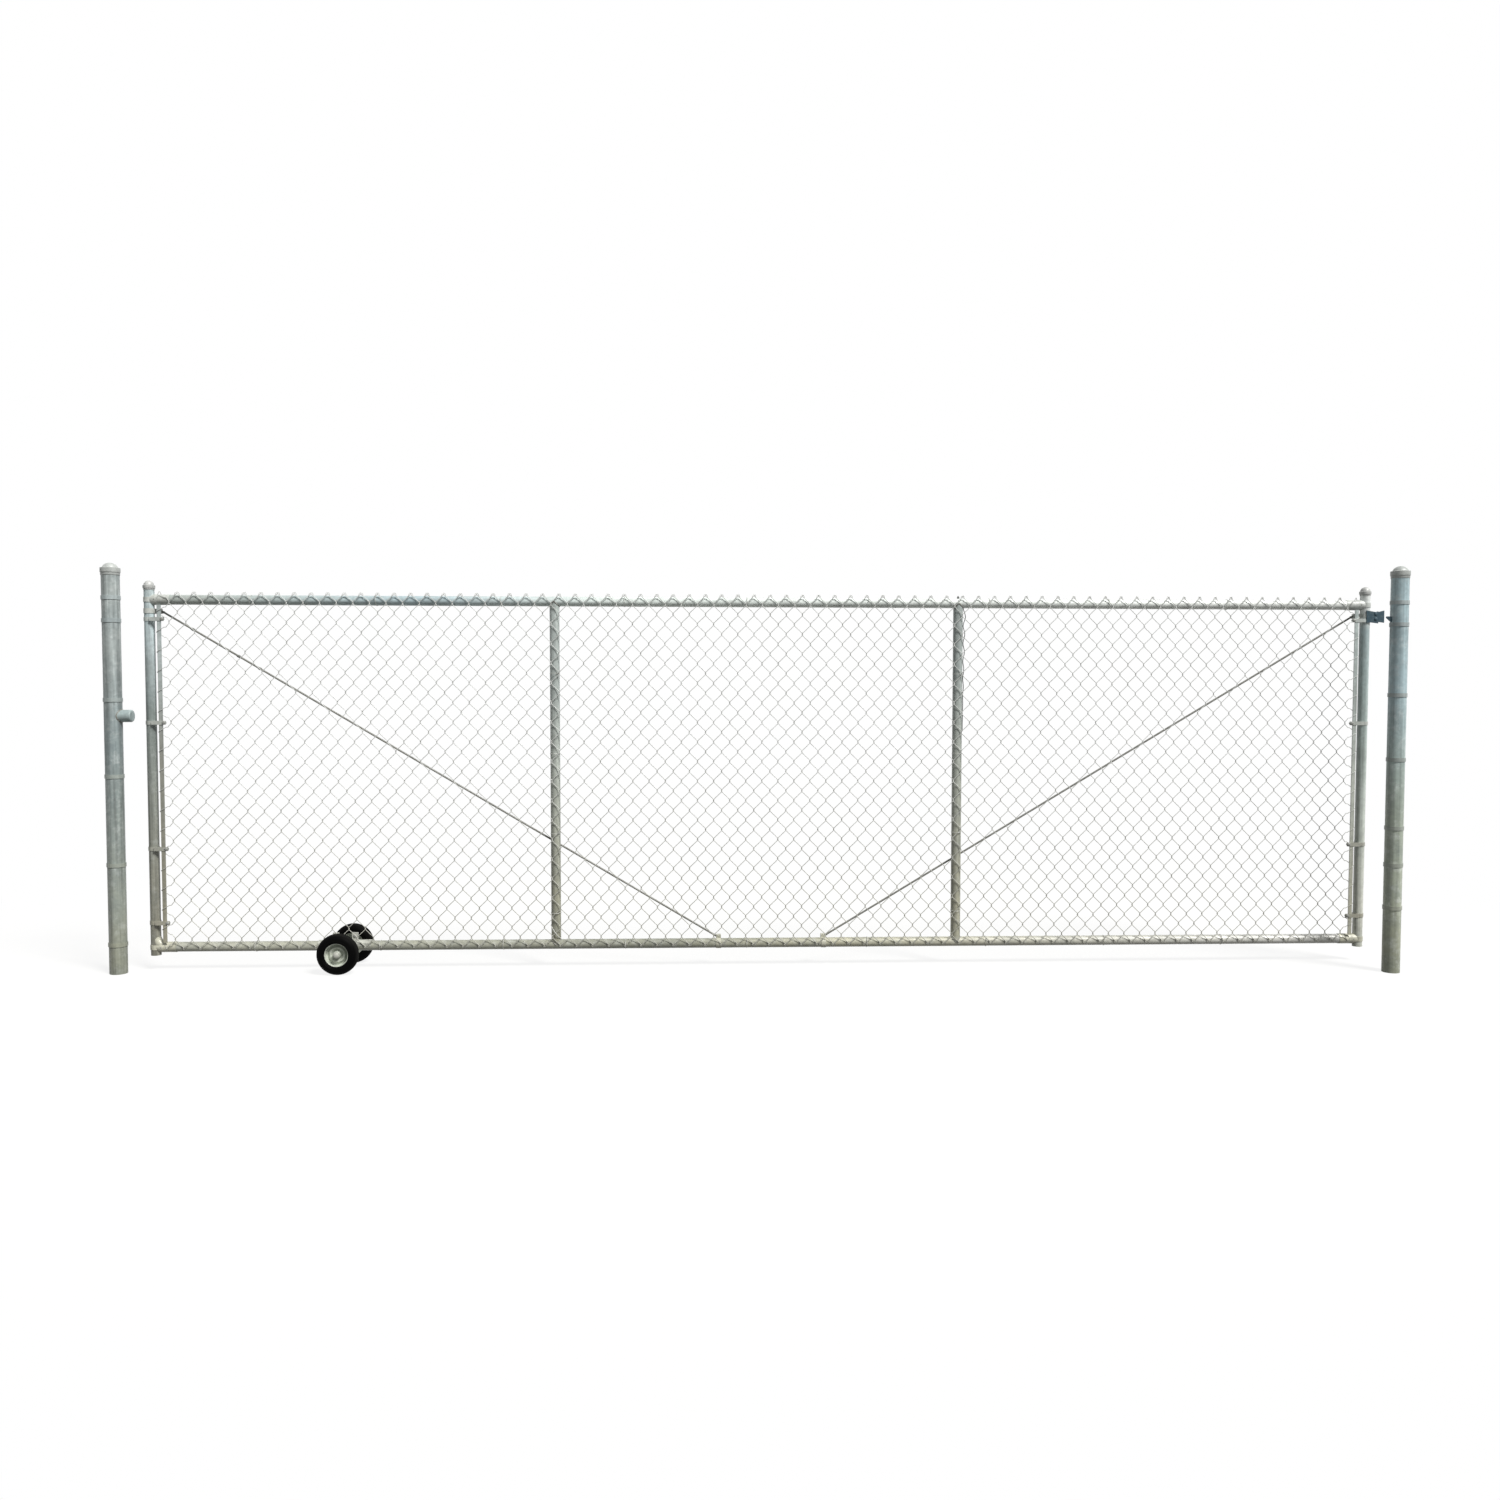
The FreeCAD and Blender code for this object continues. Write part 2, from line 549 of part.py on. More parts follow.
def hub(side):
    """A pressed hub: rim, disc raised in a ring half-way out, and a bored boss that runs on the axle."""
    inner, outer = hub_span()
    bore = AXLE_DIA / 2 + RUNNING
    boss = HUB_DIA / 2
    rim = RIM_DIA / 2
    wall = rim - RIM_WALL
    rim_in = WHEEL_SPREAD / 2 - TYRE_WIDTH / 2 - RIM_WIDTH / 2
    rim_out = rim_in + RIM_WIDTH
    disc = (inner + outer) / 2
    disc_out = disc + DISC_THICK
    crest = (boss + wall) / 2

    def path(*points):
        return Part.makePolygon([Vector(0, y, r) for y, r in points]).Edges

    def dish(base):
        start, top, end = ((base, boss), (base + DISC_CREST, crest), (base, wall))
        return Part.Arc(Vector(0, *start), Vector(0, *top), Vector(0, *end)).toShape()

    middle = path((disc, boss), (inner, boss), (inner, bore), (outer, bore), (outer, boss), (disc_out, boss))
    flange = path(
        (disc_out, wall), (rim_out, wall), (rim_out, rim), (rim_in, rim), (rim_in, wall), (disc, wall),
    )
    return turned(middle + [dish(disc_out)] + flange + [dish(disc)], side)


def tail_bracket():
    """A flared channel with the right end pipe between its cheeks, notched round the bands there."""
    middle = TOP_RAIL_HEIGHT - BRACKET_DROP
    half = BRACKET_TALL / 2
    inner = UPRIGHT_OD / 2 + FIT
    outer = inner + BRACKET_PLATE

    def cheek(start, face):
        waist = RIGHT_X + BRACKET_WAIST
        end = RIGHT_X + BRACKET_REACH
        outline = [
            (start, middle - half), (waist, middle - half + BRACKET_PINCH / 2), (end, middle - half),
            (end, middle + half), (waist, middle + half - BRACKET_PINCH), (start, middle + half),
        ]
        return polygon_plate(outline, face, BRACKET_PLATE)

    front = cheek(RIGHT_X - BRACKET_LAP, LEAF_Y - outer)
    back = cheek(RIGHT_X + END_PLAY, LEAF_Y + inner)
    web_low = (RIGHT_X + inner, LEAF_Y - outer, middle - half + BRACKET_PINCH)
    web_high = (RIGHT_X + outer, LEAF_Y + outer, middle + half - BRACKET_PINCH)
    web = block(web_low, web_high)
    bracket = front.fuse(back).fuse(web)
    notches = [(height, BAND_WIDTH) for height in RIGHT_TENSION_BANDS]
    notches.append((TOP_RAIL_HEIGHT - ROD_TOP_DROP, ROD_BAND_WIDTH))
    notches.append((TOP_RAIL_HEIGHT, CORNER_BAND_WIDTH))
    for height, width in notches:
        low = Vector(RIGHT_X, LEAF_Y, height - width / 2 - FIT)
        bracket = bracket.cut(rod(2 * (BAND_RADIUS + FIT), low, Z_AXIS, width + 2 * FIT))
    return bracket.removeSplitter()


nodes = {
    "left_post": post(0, 0),
    "left_post_cap": post_cap(0, 0),
    "left_post_bands": post_bands(0, 0, LEFT_BAND_HEIGHTS),
    "latch_stub": latch_stub(),
    "right_post": post(RIGHT_POST_X, RIGHT_POST_Y),
    "right_post_cap": post_cap(RIGHT_POST_X, RIGHT_POST_Y),
    "right_post_bands": post_bands(RIGHT_POST_X, RIGHT_POST_Y, RIGHT_BAND_HEIGHTS),
    "right_post_catch": right_post_catch(),
    "top_rail": rail(TOP_RAIL_HEIGHT),
    "bottom_rail": rail(BOTTOM_RAIL_HEIGHT),
    "left_mid_upright": mid_upright(LEFT_X + LEFT_BAY),
    "right_mid_upright": mid_upright(RIGHT_X - RIGHT_BAY),
    "wheel_saddle": wheel_saddle(),
    "wheel_axle": wheel_axle(),
    "front_tyre": tyre(-1),
    "front_hub": hub(-1),
    "rear_tyre": tyre(1),
    "rear_hub": hub(1),
    "tail_bracket": tail_bracket(),
}
for name, x, side, foot, heights in (
    ("left", LEFT_X, 1, LEFT_ROD_FOOT, LEFT_TENSION_BANDS),
    ("right", RIGHT_X, -1, RIGHT_ROD_FOOT, RIGHT_TENSION_BANDS),
):
    nodes[name + "_upright"] = upright(x)
    nodes[name + "_upright_cap"] = upright_cap(x)
    nodes["top_" + name + "_corner"] = corner_fitting(x, side, TOP_RAIL_HEIGHT)
    nodes["bottom_" + name + "_corner"] = corner_fitting(x, side, BOTTOM_RAIL_HEIGHT)
    nodes[name + "_tension_bar"] = tension_bar(x, side)
    nodes[name + "_tension_bands"] = tension_bands(x, side, heights)
    nodes[name + "_brace_rod"] = brace_rod(x, side, foot)
    nodes[name + "_upper_rod_band"] = upper_rod_band(x, side)
    nodes[name + "_lower_rod_band"] = lower_rod_band(x, side, foot)
for number, panel in enumerate(mesh_panels(), 1):
    nodes["mesh_panel_%d" % number] = panel

os.makedirs("parts", exist_ok=True)
for name, shape in nodes.items():
    shape.exportStep("parts/%s.step" % name)
    box = shape.BoundBox
    print("%-22s solids %d volume %.0f  x %.1f..%.1f y %.1f..%.1f z %.1f..%.1f" % (
        name, len(shape.Solids), shape.Volume, box.XMin, box.XMax, box.YMin, box.YMax, box.ZMin, box.ZMax,
    ))
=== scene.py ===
import math

import bmesh
import bpy
import numpy as np
from mathutils import Matrix, Vector


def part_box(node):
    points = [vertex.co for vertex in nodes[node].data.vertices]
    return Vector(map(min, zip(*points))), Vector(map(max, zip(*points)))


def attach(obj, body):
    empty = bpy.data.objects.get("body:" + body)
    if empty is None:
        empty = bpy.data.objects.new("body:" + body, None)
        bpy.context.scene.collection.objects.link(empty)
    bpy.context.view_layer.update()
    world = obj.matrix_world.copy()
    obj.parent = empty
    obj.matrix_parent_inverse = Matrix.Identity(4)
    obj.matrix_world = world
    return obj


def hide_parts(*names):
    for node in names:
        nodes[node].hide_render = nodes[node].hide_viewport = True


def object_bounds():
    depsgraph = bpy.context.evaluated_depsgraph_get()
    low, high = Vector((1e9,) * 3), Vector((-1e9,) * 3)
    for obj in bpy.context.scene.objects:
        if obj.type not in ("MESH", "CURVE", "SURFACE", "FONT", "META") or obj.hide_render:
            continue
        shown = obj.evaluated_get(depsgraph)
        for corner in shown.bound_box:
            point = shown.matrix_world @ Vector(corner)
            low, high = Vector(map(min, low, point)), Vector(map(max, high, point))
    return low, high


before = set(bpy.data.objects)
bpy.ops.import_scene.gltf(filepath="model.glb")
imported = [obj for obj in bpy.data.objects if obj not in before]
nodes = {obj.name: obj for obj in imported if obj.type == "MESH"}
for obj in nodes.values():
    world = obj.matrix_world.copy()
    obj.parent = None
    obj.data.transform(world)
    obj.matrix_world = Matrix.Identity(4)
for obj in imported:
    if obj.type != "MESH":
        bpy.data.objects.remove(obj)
cad_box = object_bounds()

# Gate posts: two lengths of galvanized steel pipe set in the ground, one at each end of the leaf.
# The zinc has weathered to a cool grey with pale bloom, dark run-off streaks and mud splash near the foot.
LEFT_POST_TONES = {0.1: (148, 152, 139), 1.1: (123, 134, 135), 1.6: (158, 166, 165)}
# The right post's bluish upper tones are painted sky reflection on its shaded side, laid over its weathered
# grey.
RIGHT_POST_TONES_WITH_PAINTED_SKY = {0.1: (160, 164, 144), 0.8: (160, 170, 157), 1.4: (170, 192, 198)}
POST_TARNISH = (104, 116, 120)
BLOOM = (228, 233, 232)
MUD = (98, 95, 72)
MUD_LINE = 0.34
SPLASH_SCALE = 28.0
CLOUD_SCALE = 7.0
BLOOM_SCALE = 24.0
PORE_SCALE = 260.0
SPANGLE = 0.08
UPRIGHT_GRAIN = (60.0, 60.0, 1.6)


def linear(colour):
    """A colour in 0 to 255 screen values as the linear RGBA that a shader takes."""
    part = np.asarray(colour, float) / 255
    value = np.where(part > 0.04045, ((part + 0.055) / 1.055) ** 2.4, part / 12.92)
    return (*value.tolist(), 1.0)


def add_node(tree, kind, settings=None, **inputs):
    """A shader node with its properties set, and each input linked to a socket or given a value.
    An input named i0, i1 and so on is taken by its number."""
    node = tree.nodes.new("ShaderNode" + kind)
    for key, value in (settings or {}).items():
        setattr(node, key, value)
    for key, value in inputs.items():
        numbered = key[0] == "i" and key[1:].isdigit()
        socket = node.inputs[int(key[1:]) if numbered else key.replace("_", " ")]
        if isinstance(value, bpy.types.NodeSocket):
            tree.links.new(value, socket)
        else:
            socket.default_value = value
    return node


def new_finish(name, **constants):
    """An empty material: its tree, its shader with the given constants, and Object coordinates."""
    material = bpy.data.materials.new(name)
    material.use_nodes = True
    tree = material.node_tree
    shader = tree.nodes["Principled BSDF"]
    for key, value in constants.items():
        shader.inputs[key.replace("_", " ")].default_value = value
    return material, tree, shader, add_node(tree, "TexCoord").outputs["Object"]


def blend_colour(tree, amount, under, over, mode="MIX"):
    """One colour over another by an amount, each a socket or a value."""
    return add_node(tree, "MixRGB", {"blend_type": mode}, Fac=amount, Color1=under, Color2=over).outputs[0]


def add_mud(tree, place, height, tint, thick):
    """Mud splash: thickest at the ground, gone at the mud line, and broken up by a fine noise."""
    near = add_node(tree, "MapRange", Value=height, From_Max=MUD_LINE, To_Min=thick, To_Max=0.0)
    splash = add_node(tree, "TexNoise", Vector=place, Scale=SPLASH_SCALE, Detail=6.0, Roughness=0.7)
    depth = add_node(tree, "Math", {"operation": "MULTIPLY"}, i0=near.outputs[0], i1=splash.outputs["Fac"])
    return blend_colour(tree, depth.outputs[0], tint, linear(MUD))


def tone_run(tree, value, tones):
    """Colours along a length: each tone sits at its own place in metres, and a ramp runs between them."""
    places = sorted(tones)
    span = max(places[-1] - places[0], 1.0)
    share = add_node(tree, "MapRange", Value=value, From_Min=places[0], From_Max=places[0] + span)
    ramp = add_node(tree, "ValToRGB", Fac=share.outputs[0])
    stops = ramp.color_ramp.elements
    stops.remove(stops[1])
    stops[0].color = linear(tones[places[0]])
    for place in places[1:]:
        stops.new((place - places[0]) / span).color = linear(tones[place])
    return ramp.outputs["Color"]


def zinc_finish(name, tones, tarnish, streak=0.2, grain=UPRIGHT_GRAIN, mud=0.0, size=70.0,
                dull=0.5, bloom=0.0, rough=(0.34, 0.52), along="Z"):
    """Weathered zinc. Tones run along one axis, a cloudy noise mixes in the tarnish, and a finer one the
    bloom. Crystal cells and streaks along the pipe lighten and darken it, and roughness follows the cloud."""
    material, tree, shader, place = new_finish(name, Metallic=0.03, Specular_IOR_Level=0.6)
    parts = add_node(tree, "SeparateXYZ", Vector=place)
    tint = tone_run(tree, parts.outputs[along], tones)
    noise = add_node(tree, "TexNoise", Vector=place, Scale=CLOUD_SCALE, Detail=6.0, Roughness=0.65)
    cloud = noise.outputs["Fac"]
    stain = add_node(tree, "MapRange", Value=cloud, From_Min=0.44, From_Max=0.72, To_Max=dull)
    tint = blend_colour(tree, stain.outputs[0], tint, linear(tarnish))
    if bloom:
        patch = add_node(tree, "TexNoise", Vector=place, Scale=BLOOM_SCALE, Detail=5.0, Roughness=0.7)
        pale = add_node(tree, "MapRange", Value=patch.outputs["Fac"], From_Min=0.5, From_Max=0.72,
                        To_Max=bloom)
        tint = blend_colour(tree, pale.outputs[0], tint, linear(BLOOM))
    cells = add_node(tree, "TexVoronoi", Vector=place, Scale=size)
    cell = add_node(tree, "SeparateXYZ", Vector=cells.outputs["Color"]).outputs["X"]
    spangle = add_node(tree, "MapRange", Value=cell, To_Min=1 - SPANGLE, To_Max=1 + SPANGLE)
    tint = blend_colour(tree, 1.0, tint, spangle.outputs[0], "MULTIPLY")
    drawn = add_node(tree, "Mapping", Vector=place, Scale=grain)
    drip = add_node(tree, "TexNoise", Vector=drawn.outputs[0], Scale=1.0, Detail=4.0, Roughness=0.6)
    line = add_node(tree, "MapRange", Value=drip.outputs["Fac"], From_Min=0.3, From_Max=0.7,
                    To_Min=1 - streak, To_Max=1 + streak)
    tint = blend_colour(tree, 1.0, tint, line.outputs[0], "MULTIPLY")
    if mud:
        tint = add_mud(tree, place, parts.outputs["Z"], tint, mud)
    tree.links.new(tint, shader.inputs["Base Color"])
    gloss = add_node(tree, "MapRange", Value=cloud, From_Min=0.3, From_Max=0.7,
                     To_Min=rough[0], To_Max=rough[1])
    tree.links.new(gloss.outputs[0], shader.inputs["Roughness"])
    pores = add_node(tree, "TexNoise", Vector=place, Scale=PORE_SCALE, Detail=2.0)
    bump = add_node(tree, "Bump", Strength=0.12, Distance=0.002, Height=pores.outputs["Fac"])
    tree.links.new(bump.outputs[0], shader.inputs["Normal"])
    return material


def paint_nodes(material, *names):
    """Gives CAD nodes one finish."""
    for name in names:
        nodes[name].data.materials.clear()
        nodes[name].data.materials.append(material)


for post, tones, streak, bloom in (
    ("left_post", LEFT_POST_TONES, 0.42, 0.25),
    ("right_post", RIGHT_POST_TONES_WITH_PAINTED_SKY, 0.28, 0.4),
):
    post_zinc = zinc_finish("weathered_%s_zinc" % post, tones, POST_TARNISH, streak=streak, mud=0.6,
                            bloom=bloom)
    paint_nodes(post_zinc, post)

# Post and pipe caps: cast domes pressed over the open pipe ends.
# The casting has dulled to a grey a little warmer than the pipe, with a rough skin. Its tones lighten towards
# each dome's top as painted top light, and the pipe caps are paler with a painted highlight.
POST_CAP_TONES_WITH_PAINTED_TOP_LIGHT = {1.93: (146, 150, 148), 1.97: (182, 186, 183)}
PIPE_CAP_TONES_WITH_PAINTED_HIGHLIGHT = {1.88: (178, 180, 178), 1.92: (190, 191, 189)}
CAST_TARNISH = (112, 118, 118)
CAST_GRAIN = (40.0, 40.0, 20.0)
post_cap = zinc_finish("post_cap_metal", POST_CAP_TONES_WITH_PAINTED_TOP_LIGHT, CAST_TARNISH, streak=0.12, grain=CAST_GRAIN,
                       size=240.0)
pipe_cap = zinc_finish("pipe_cap_metal", PIPE_CAP_TONES_WITH_PAINTED_HIGHLIGHT, CAST_TARNISH, streak=0.12, grain=CAST_GRAIN,
                       size=240.0, dull=0.3)
paint_nodes(post_cap, "left_post_cap", "right_post_cap")
paint_nodes(pipe_cap, "left_upright_cap", "right_upright_cap")

# Post bands: pressed steel straps round each post, pulled tight by a carriage bolt through two ears behind.
# Straps and bolts are zinc plated, and the bolts have dulled more.
STRAP_TONES = {0.1: (154, 157, 141), 1.0: (150, 158, 153), 1.6: (166, 176, 177)}
STRAP_TARNISH = (106, 116, 119)
FITTING_TONES = {0.1: (192, 191, 174), 1.6: (204, 208, 204)}
FITTING_TARNISH = (128, 130, 120)
BOLT_GREY = (150, 152, 148)
BOLT_TARNISH = (96, 94, 86)
BOLT_RADIUS = 0.0048
BOLT_HEAD = 0.0092
BOLT_RISE = 0.0042
BOLT_END = 0.006
BOLT_POINT = 0.001
POINT_SHARE = 0.6
NUT_RADIUS = 0.0082
NUT_THICK = 0.0065
NUT_BEVEL = 0.1
STRAP_GAP = 0.03
EAR_GRIP = 0.010
EAR_INSET = 0.011


def ring_turns(sides):
    """Angles of points evenly spaced round a ring."""
    return np.arange(sides) * (2 * math.pi / sides)


def lathe(profile, places, axis, sides):
    """Rings turned about an axis: ring i lies profile[i][0] along the axis from each place, with radius
    profile[i][1]. Returns one grid for each place, shaped (places, rings, sides, 3)."""
    shape = np.asarray(profile, float)
    along = np.asarray(axis, float)
    along = along / np.linalg.norm(along)
    helper = np.array([0.0, 0.0, 1.0]) if abs(along[2]) < 0.9 else np.array([1.0, 0.0, 0.0])
    across = np.cross(along, helper)
    across = across / np.linalg.norm(across)
    other = np.cross(along, across)
    turns = ring_turns(sides)
    spokes = np.cos(turns)[:, None] * across + np.sin(turns)[:, None] * other
    rings = shape[:, 0, None, None] * along + shape[:, 1, None, None] * spokes
    return np.asarray(places, float).reshape(-1, 1, 1, 3) + rings


def grid_faces(grid, looped):
    """Vertex rows of the faces of ring grids: a quad between each two neighbours on each two rings, and a
    flat cap on the first and last ring unless the rings themselves close in a loop."""
    count, rings, sides = grid.shape[:3]
    index = np.arange(count * rings * sides).reshape(count, rings, sides)
    nearer = index if looped else index[:, :-1]
    farther = np.roll(index, -1, 1) if looped else index[:, 1:]
    quads = np.stack([nearer, np.roll(nearer, -1, 2), np.roll(farther, -1, 2), farther], 3).reshape(-1, 4)
    ends = np.zeros((0, sides), int) if looped else np.concatenate([index[:, 0, ::-1], index[:, -1]])
    return quads, ends


def skin_piece(name, batches, material, body, crease=40):
    """One mesh piece from batches of ring grids, each (grid, looped). Faces are turned outwards, edges
    sharper than the crease angle stay sharp, and the piece rides on its body."""
    points, totals, corners, base = [], [], [], 0
    for grid, looped in batches:
        for faces in grid_faces(grid, looped):
            totals.append(np.full(len(faces), faces.shape[1]))
            corners.append(faces.ravel() + base)
        points.append(grid.reshape(-1, 3))
        base += len(points[-1])
    points, totals, corners = np.concatenate(points), np.concatenate(totals), np.concatenate(corners)
    mesh = bpy.data.meshes.new(name)
    mesh.vertices.add(len(points))
    mesh.vertices.foreach_set("co", points.astype(np.float32).ravel())
    mesh.loops.add(len(corners))
    mesh.loops.foreach_set("vertex_index", corners.astype(np.int32))
    mesh.polygons.add(len(totals))
    mesh.polygons.foreach_set("loop_start", (np.cumsum(totals) - totals).astype(np.int32))
    mesh.update(calc_edges=True)
    build = bmesh.new()
    build.from_mesh(mesh)
    bmesh.ops.recalc_face_normals(build, faces=build.faces)
    build.to_mesh(mesh)
    build.free()
    mesh.shade_smooth()
    mesh.set_sharp_from_angle(angle=math.radians(crease))
    mesh.materials.append(material)
    piece = bpy.data.objects.new(name, mesh)
    bpy.context.scene.collection.objects.link(piece)
    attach(piece, body)
    return piece


def hex_nut(places, axis, start, radius=NUT_RADIUS, thick=NUT_THICK):
    """Hex nuts, each start along the axis from its place, with ends bevelled by a share of the radius."""
    bevel = NUT_BEVEL * radius
    section = [
        (start, radius - bevel),
        (start + bevel, radius),
        (start + thick - bevel, radius),
        (start + thick, radius - bevel),
    ]
    return lathe(section, places, axis, 6), False


def bolts(places, axis, grip):
    """Carriage bolts: at each place a domed head, its height a cosine and its radius a sine of one angle,
    then along the axis a shank through the grip, a hex nut and a short end. Returns batches of grids."""
    rise = np.linspace(0.08, 0.5, 6) * math.pi
    dome = np.stack([-BOLT_RISE * np.cos(rise), BOLT_HEAD * np.sin(rise)], 1)
    tip = grip + NUT_THICK + BOLT_END
    shank = [(0.0, BOLT_RADIUS), (tip - BOLT_POINT, BOLT_RADIUS), (tip, POINT_SHARE * BOLT_RADIUS)]
    head = (lathe(dome, places, axis, 12), False)
    return [head, (lathe(shank, places, axis, 8), False), hex_nut(places, axis, grip)]


def strap_levels(name):
    """Middle heights of the separate straps in a node: its vertex heights, split where they jump."""
    mesh = nodes[name].data
    place = np.empty(3 * len(mesh.vertices), np.float32)
    mesh.vertices.foreach_get("co", place)
    levels = np.unique(place[2::3])
    straps = np.split(levels, np.flatnonzero(np.diff(levels) > STRAP_GAP) + 1)
    return [float(strap[0] + strap[-1]) / 2 for strap in straps]


fitting_zinc = zinc_finish("pressed_fitting_zinc", FITTING_TONES, FITTING_TARNISH, streak=0.10,
                           grain=(30.0, 30.0, 60.0), size=150.0)
strap_zinc = zinc_finish("post_strap_zinc", STRAP_TONES, STRAP_TARNISH, streak=0.16, mud=0.5)
bolt_zinc = zinc_finish("bolt_zinc", {0: BOLT_GREY}, BOLT_TARNISH, streak=0.08,
                        grain=(90.0, 90.0, 90.0), size=260.0)
paint_nodes(strap_zinc, "left_post_bands", "right_post_bands")
for post in ("left_post", "right_post"):
    low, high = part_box(post)
    ears_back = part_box(post + "_bands")[1].y
    head_x = (low.x + high.x) / 2 - EAR_GRIP / 2
    places = [(head_x, ears_back - EAR_INSET, level) for level in strap_levels(post + "_bands")]
    batches = bolts(places, (1, 0, 0), EAR_GRIP)
    skin_piece(post + "_band_bolts", batches, bolt_zinc, "posts")

# Latch stub and wedge catch: a short pipe stub with a rounded end, and a small lug, welded to the posts.
# The stub is zinc like the post with a ripple of weld round its root, and the lug's dark blue-grey is painted
# shade.
STUB_PALE = (168, 182, 182)
STUB_TARNISH = (98, 112, 114)
BEAD_RADIUS = 0.0032
BEAD_RIPPLE = 0.12
BEAD_POINTS = 96
WELD_GREY = (138, 138, 132)
WELD_TARNISH = (92, 86, 76)
# Painted shade: the dark blue-grey of zinc in shadow under a blue sky, with paler spots; it colours the lug
# and the tail bracket.
PAINTED_SHADE_BLUE = (48, 72, 84)
PALER_SHADE_SPOTS = (112, 122, 122)
SPOT_SHARE = 0.4


def tube(paths, radius, sides, reference, looped=False):
    """A round tube along each path: at every point a ring of the given radius, square to the path, whose
    first spoke is square to both the path and the reference. Paths are (count, points, 3), and the radius is
    one value or one for each point."""
    path = np.asarray(paths, float)
    if looped:
        run = np.roll(path, -1, 1) - np.roll(path, 1, 1)
    else:
        run = np.gradient(path, axis=1)
    run /= np.linalg.norm(run, axis=2, keepdims=True)
    across = np.cross(run, np.asarray(reference, float))
    across /= np.linalg.norm(across, axis=2, keepdims=True)
    other = np.cross(across, run)
    turns = ring_turns(sides)[:, None]
    spokes = np.cos(turns) * across[:, :, None] + np.sin(turns) * other[:, :, None]
    return path[:, :, None] + np.asarray(radius, float).reshape(-1, 1, 1) * spokes


def weld_bead(path, reference):
    """A weld round a joint: a closed tube whose radius ripples as a sine along its path."""
    ripple = np.sin(ring_turns(len(path)) * (len(path) // 4))
    radius = BEAD_RADIUS * (1 + BEAD_RIPPLE * ripple)
    return tube(path[None], radius, 8, reference, looped=True), True


def painted_shade_finish(name, colour, worn, amount):
    """Painted shade: a dark colour with paler spots, and noise picks where the paler tone shows through."""
    material, tree, shader, place = new_finish(name, Metallic=0.1)
    patch = add_node(tree, "TexNoise", Vector=place, Scale=60.0, Detail=6.0, Roughness=0.65).outputs["Fac"]
    where = add_node(tree, "MapRange", Value=patch, From_Min=0.5, From_Max=0.75, To_Max=amount)
    tint = blend_colour(tree, where.outputs[0], linear(colour), linear(worn))
    tree.links.new(tint, shader.inputs["Base Color"])
    gloss = add_node(tree, "MapRange", Value=patch, To_Min=0.35, To_Max=0.75)
    tree.links.new(gloss.outputs[0], shader.inputs["Roughness"])
    bump = add_node(tree, "Bump", Strength=0.2, Distance=0.001, Height=patch)
    tree.links.new(bump.outputs[0], shader.inputs["Normal"])
    return material


stub_zinc = zinc_finish("latch_stub_zinc", {0: STUB_PALE}, STUB_TARNISH, streak=0.15)
weld_zinc = zinc_finish("weld_bead_zinc", {0: WELD_GREY}, WELD_TARNISH, streak=0.1,
                        grain=(90.0, 90.0, 90.0))
bracket_painted_shade = painted_shade_finish("bracket_painted_shade_metal", PAINTED_SHADE_BLUE, PALER_SHADE_SPOTS, SPOT_SHARE)
paint_nodes(stub_zinc, "latch_stub")
paint_nodes(bracket_painted_shade, "right_post_catch")
low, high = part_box("latch_stub")
post_low, post_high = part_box("left_post")
stub_radius = (high.z - low.z) / 2
post_radius = (post_high.x - post_low.x) / 2
turns = ring_turns(BEAD_POINTS)
root = np.stack([
    np.sqrt(post_radius**2 - (stub_radius * np.sin(turns)) ** 2),
    stub_radius * np.sin(turns),
    stub_radius * np.cos(turns),
], 1)
root += np.array([(post_low.x + post_high.x) / 2, (post_low.y + post_high.y) / 2, (low.z + high.z) / 2])
skin_piece("latch_stub_weld", [weld_bead(root, (1, 0, 0))], weld_zinc, "posts")

# Leaf frame: end pipes, top and bottom rails and two pipes between them, of galvanized steel pipe.
# The corner fittings hold the rails' ends, and the middle pipes are welded where they meet the rails.
# The pale upper tones of the left end pipe are partly painted glare, and the near-white band at the top of
# the right end pipe is a painted highlight.
LEFT_UPRIGHT_TONES_WITH_PAINTED_GLARE = {0.4: (139, 138, 126), 1.3: (122, 132, 130), 1.6: (186, 200, 203)}
RIGHT_UPRIGHT_TONES_WITH_PAINTED_GLARE = {0.3: (198, 200, 190), 1.2: (170, 184, 180), 1.7: (160, 178, 180), 1.8: (236, 240, 238)}
LEFT_MID_TONES = {0.4: (154, 154, 137), 1.4: (184, 193, 190)}
RIGHT_MID_TONES = {0.4: (162, 161, 143), 1.5: (164, 173, 171)}
UPRIGHT_TARNISH = (118, 124, 120)
# Painted reflection: the top rail's tones turn bluish and then pale almost to white towards the right end, as
# light reflected off the zinc, over its own grey.
RAIL_TONES_WITH_PAINTED_REFLECTION = {0.4: (172, 180, 176), 1.5: (170, 189, 195), 2.4: (225, 234, 230), 5.8: (242, 245, 242)}
FOOT_RAIL_TONES = {0.4: (181, 182, 168), 2.7: (140, 142, 128), 3.6: (188, 186, 164), 5.8: (208, 208, 204)}
RAIL_TARNISH = (140, 144, 138)
RAIL_GRAIN = (1.6, 60.0, 60.0)
for pipe, tones, streak in (
    ("left_upright", LEFT_UPRIGHT_TONES_WITH_PAINTED_GLARE, 0.44),
    ("right_upright", RIGHT_UPRIGHT_TONES_WITH_PAINTED_GLARE, 0.28),
    ("left_mid_upright", LEFT_MID_TONES, 0.28),
    ("right_mid_upright", RIGHT_MID_TONES, 0.24),
):
    pipe_zinc = zinc_finish("weathered_%s_zinc" % pipe, tones, UPRIGHT_TARNISH, streak=streak, mud=0.3,
                            bloom=0.2)
    paint_nodes(pipe_zinc, pipe)
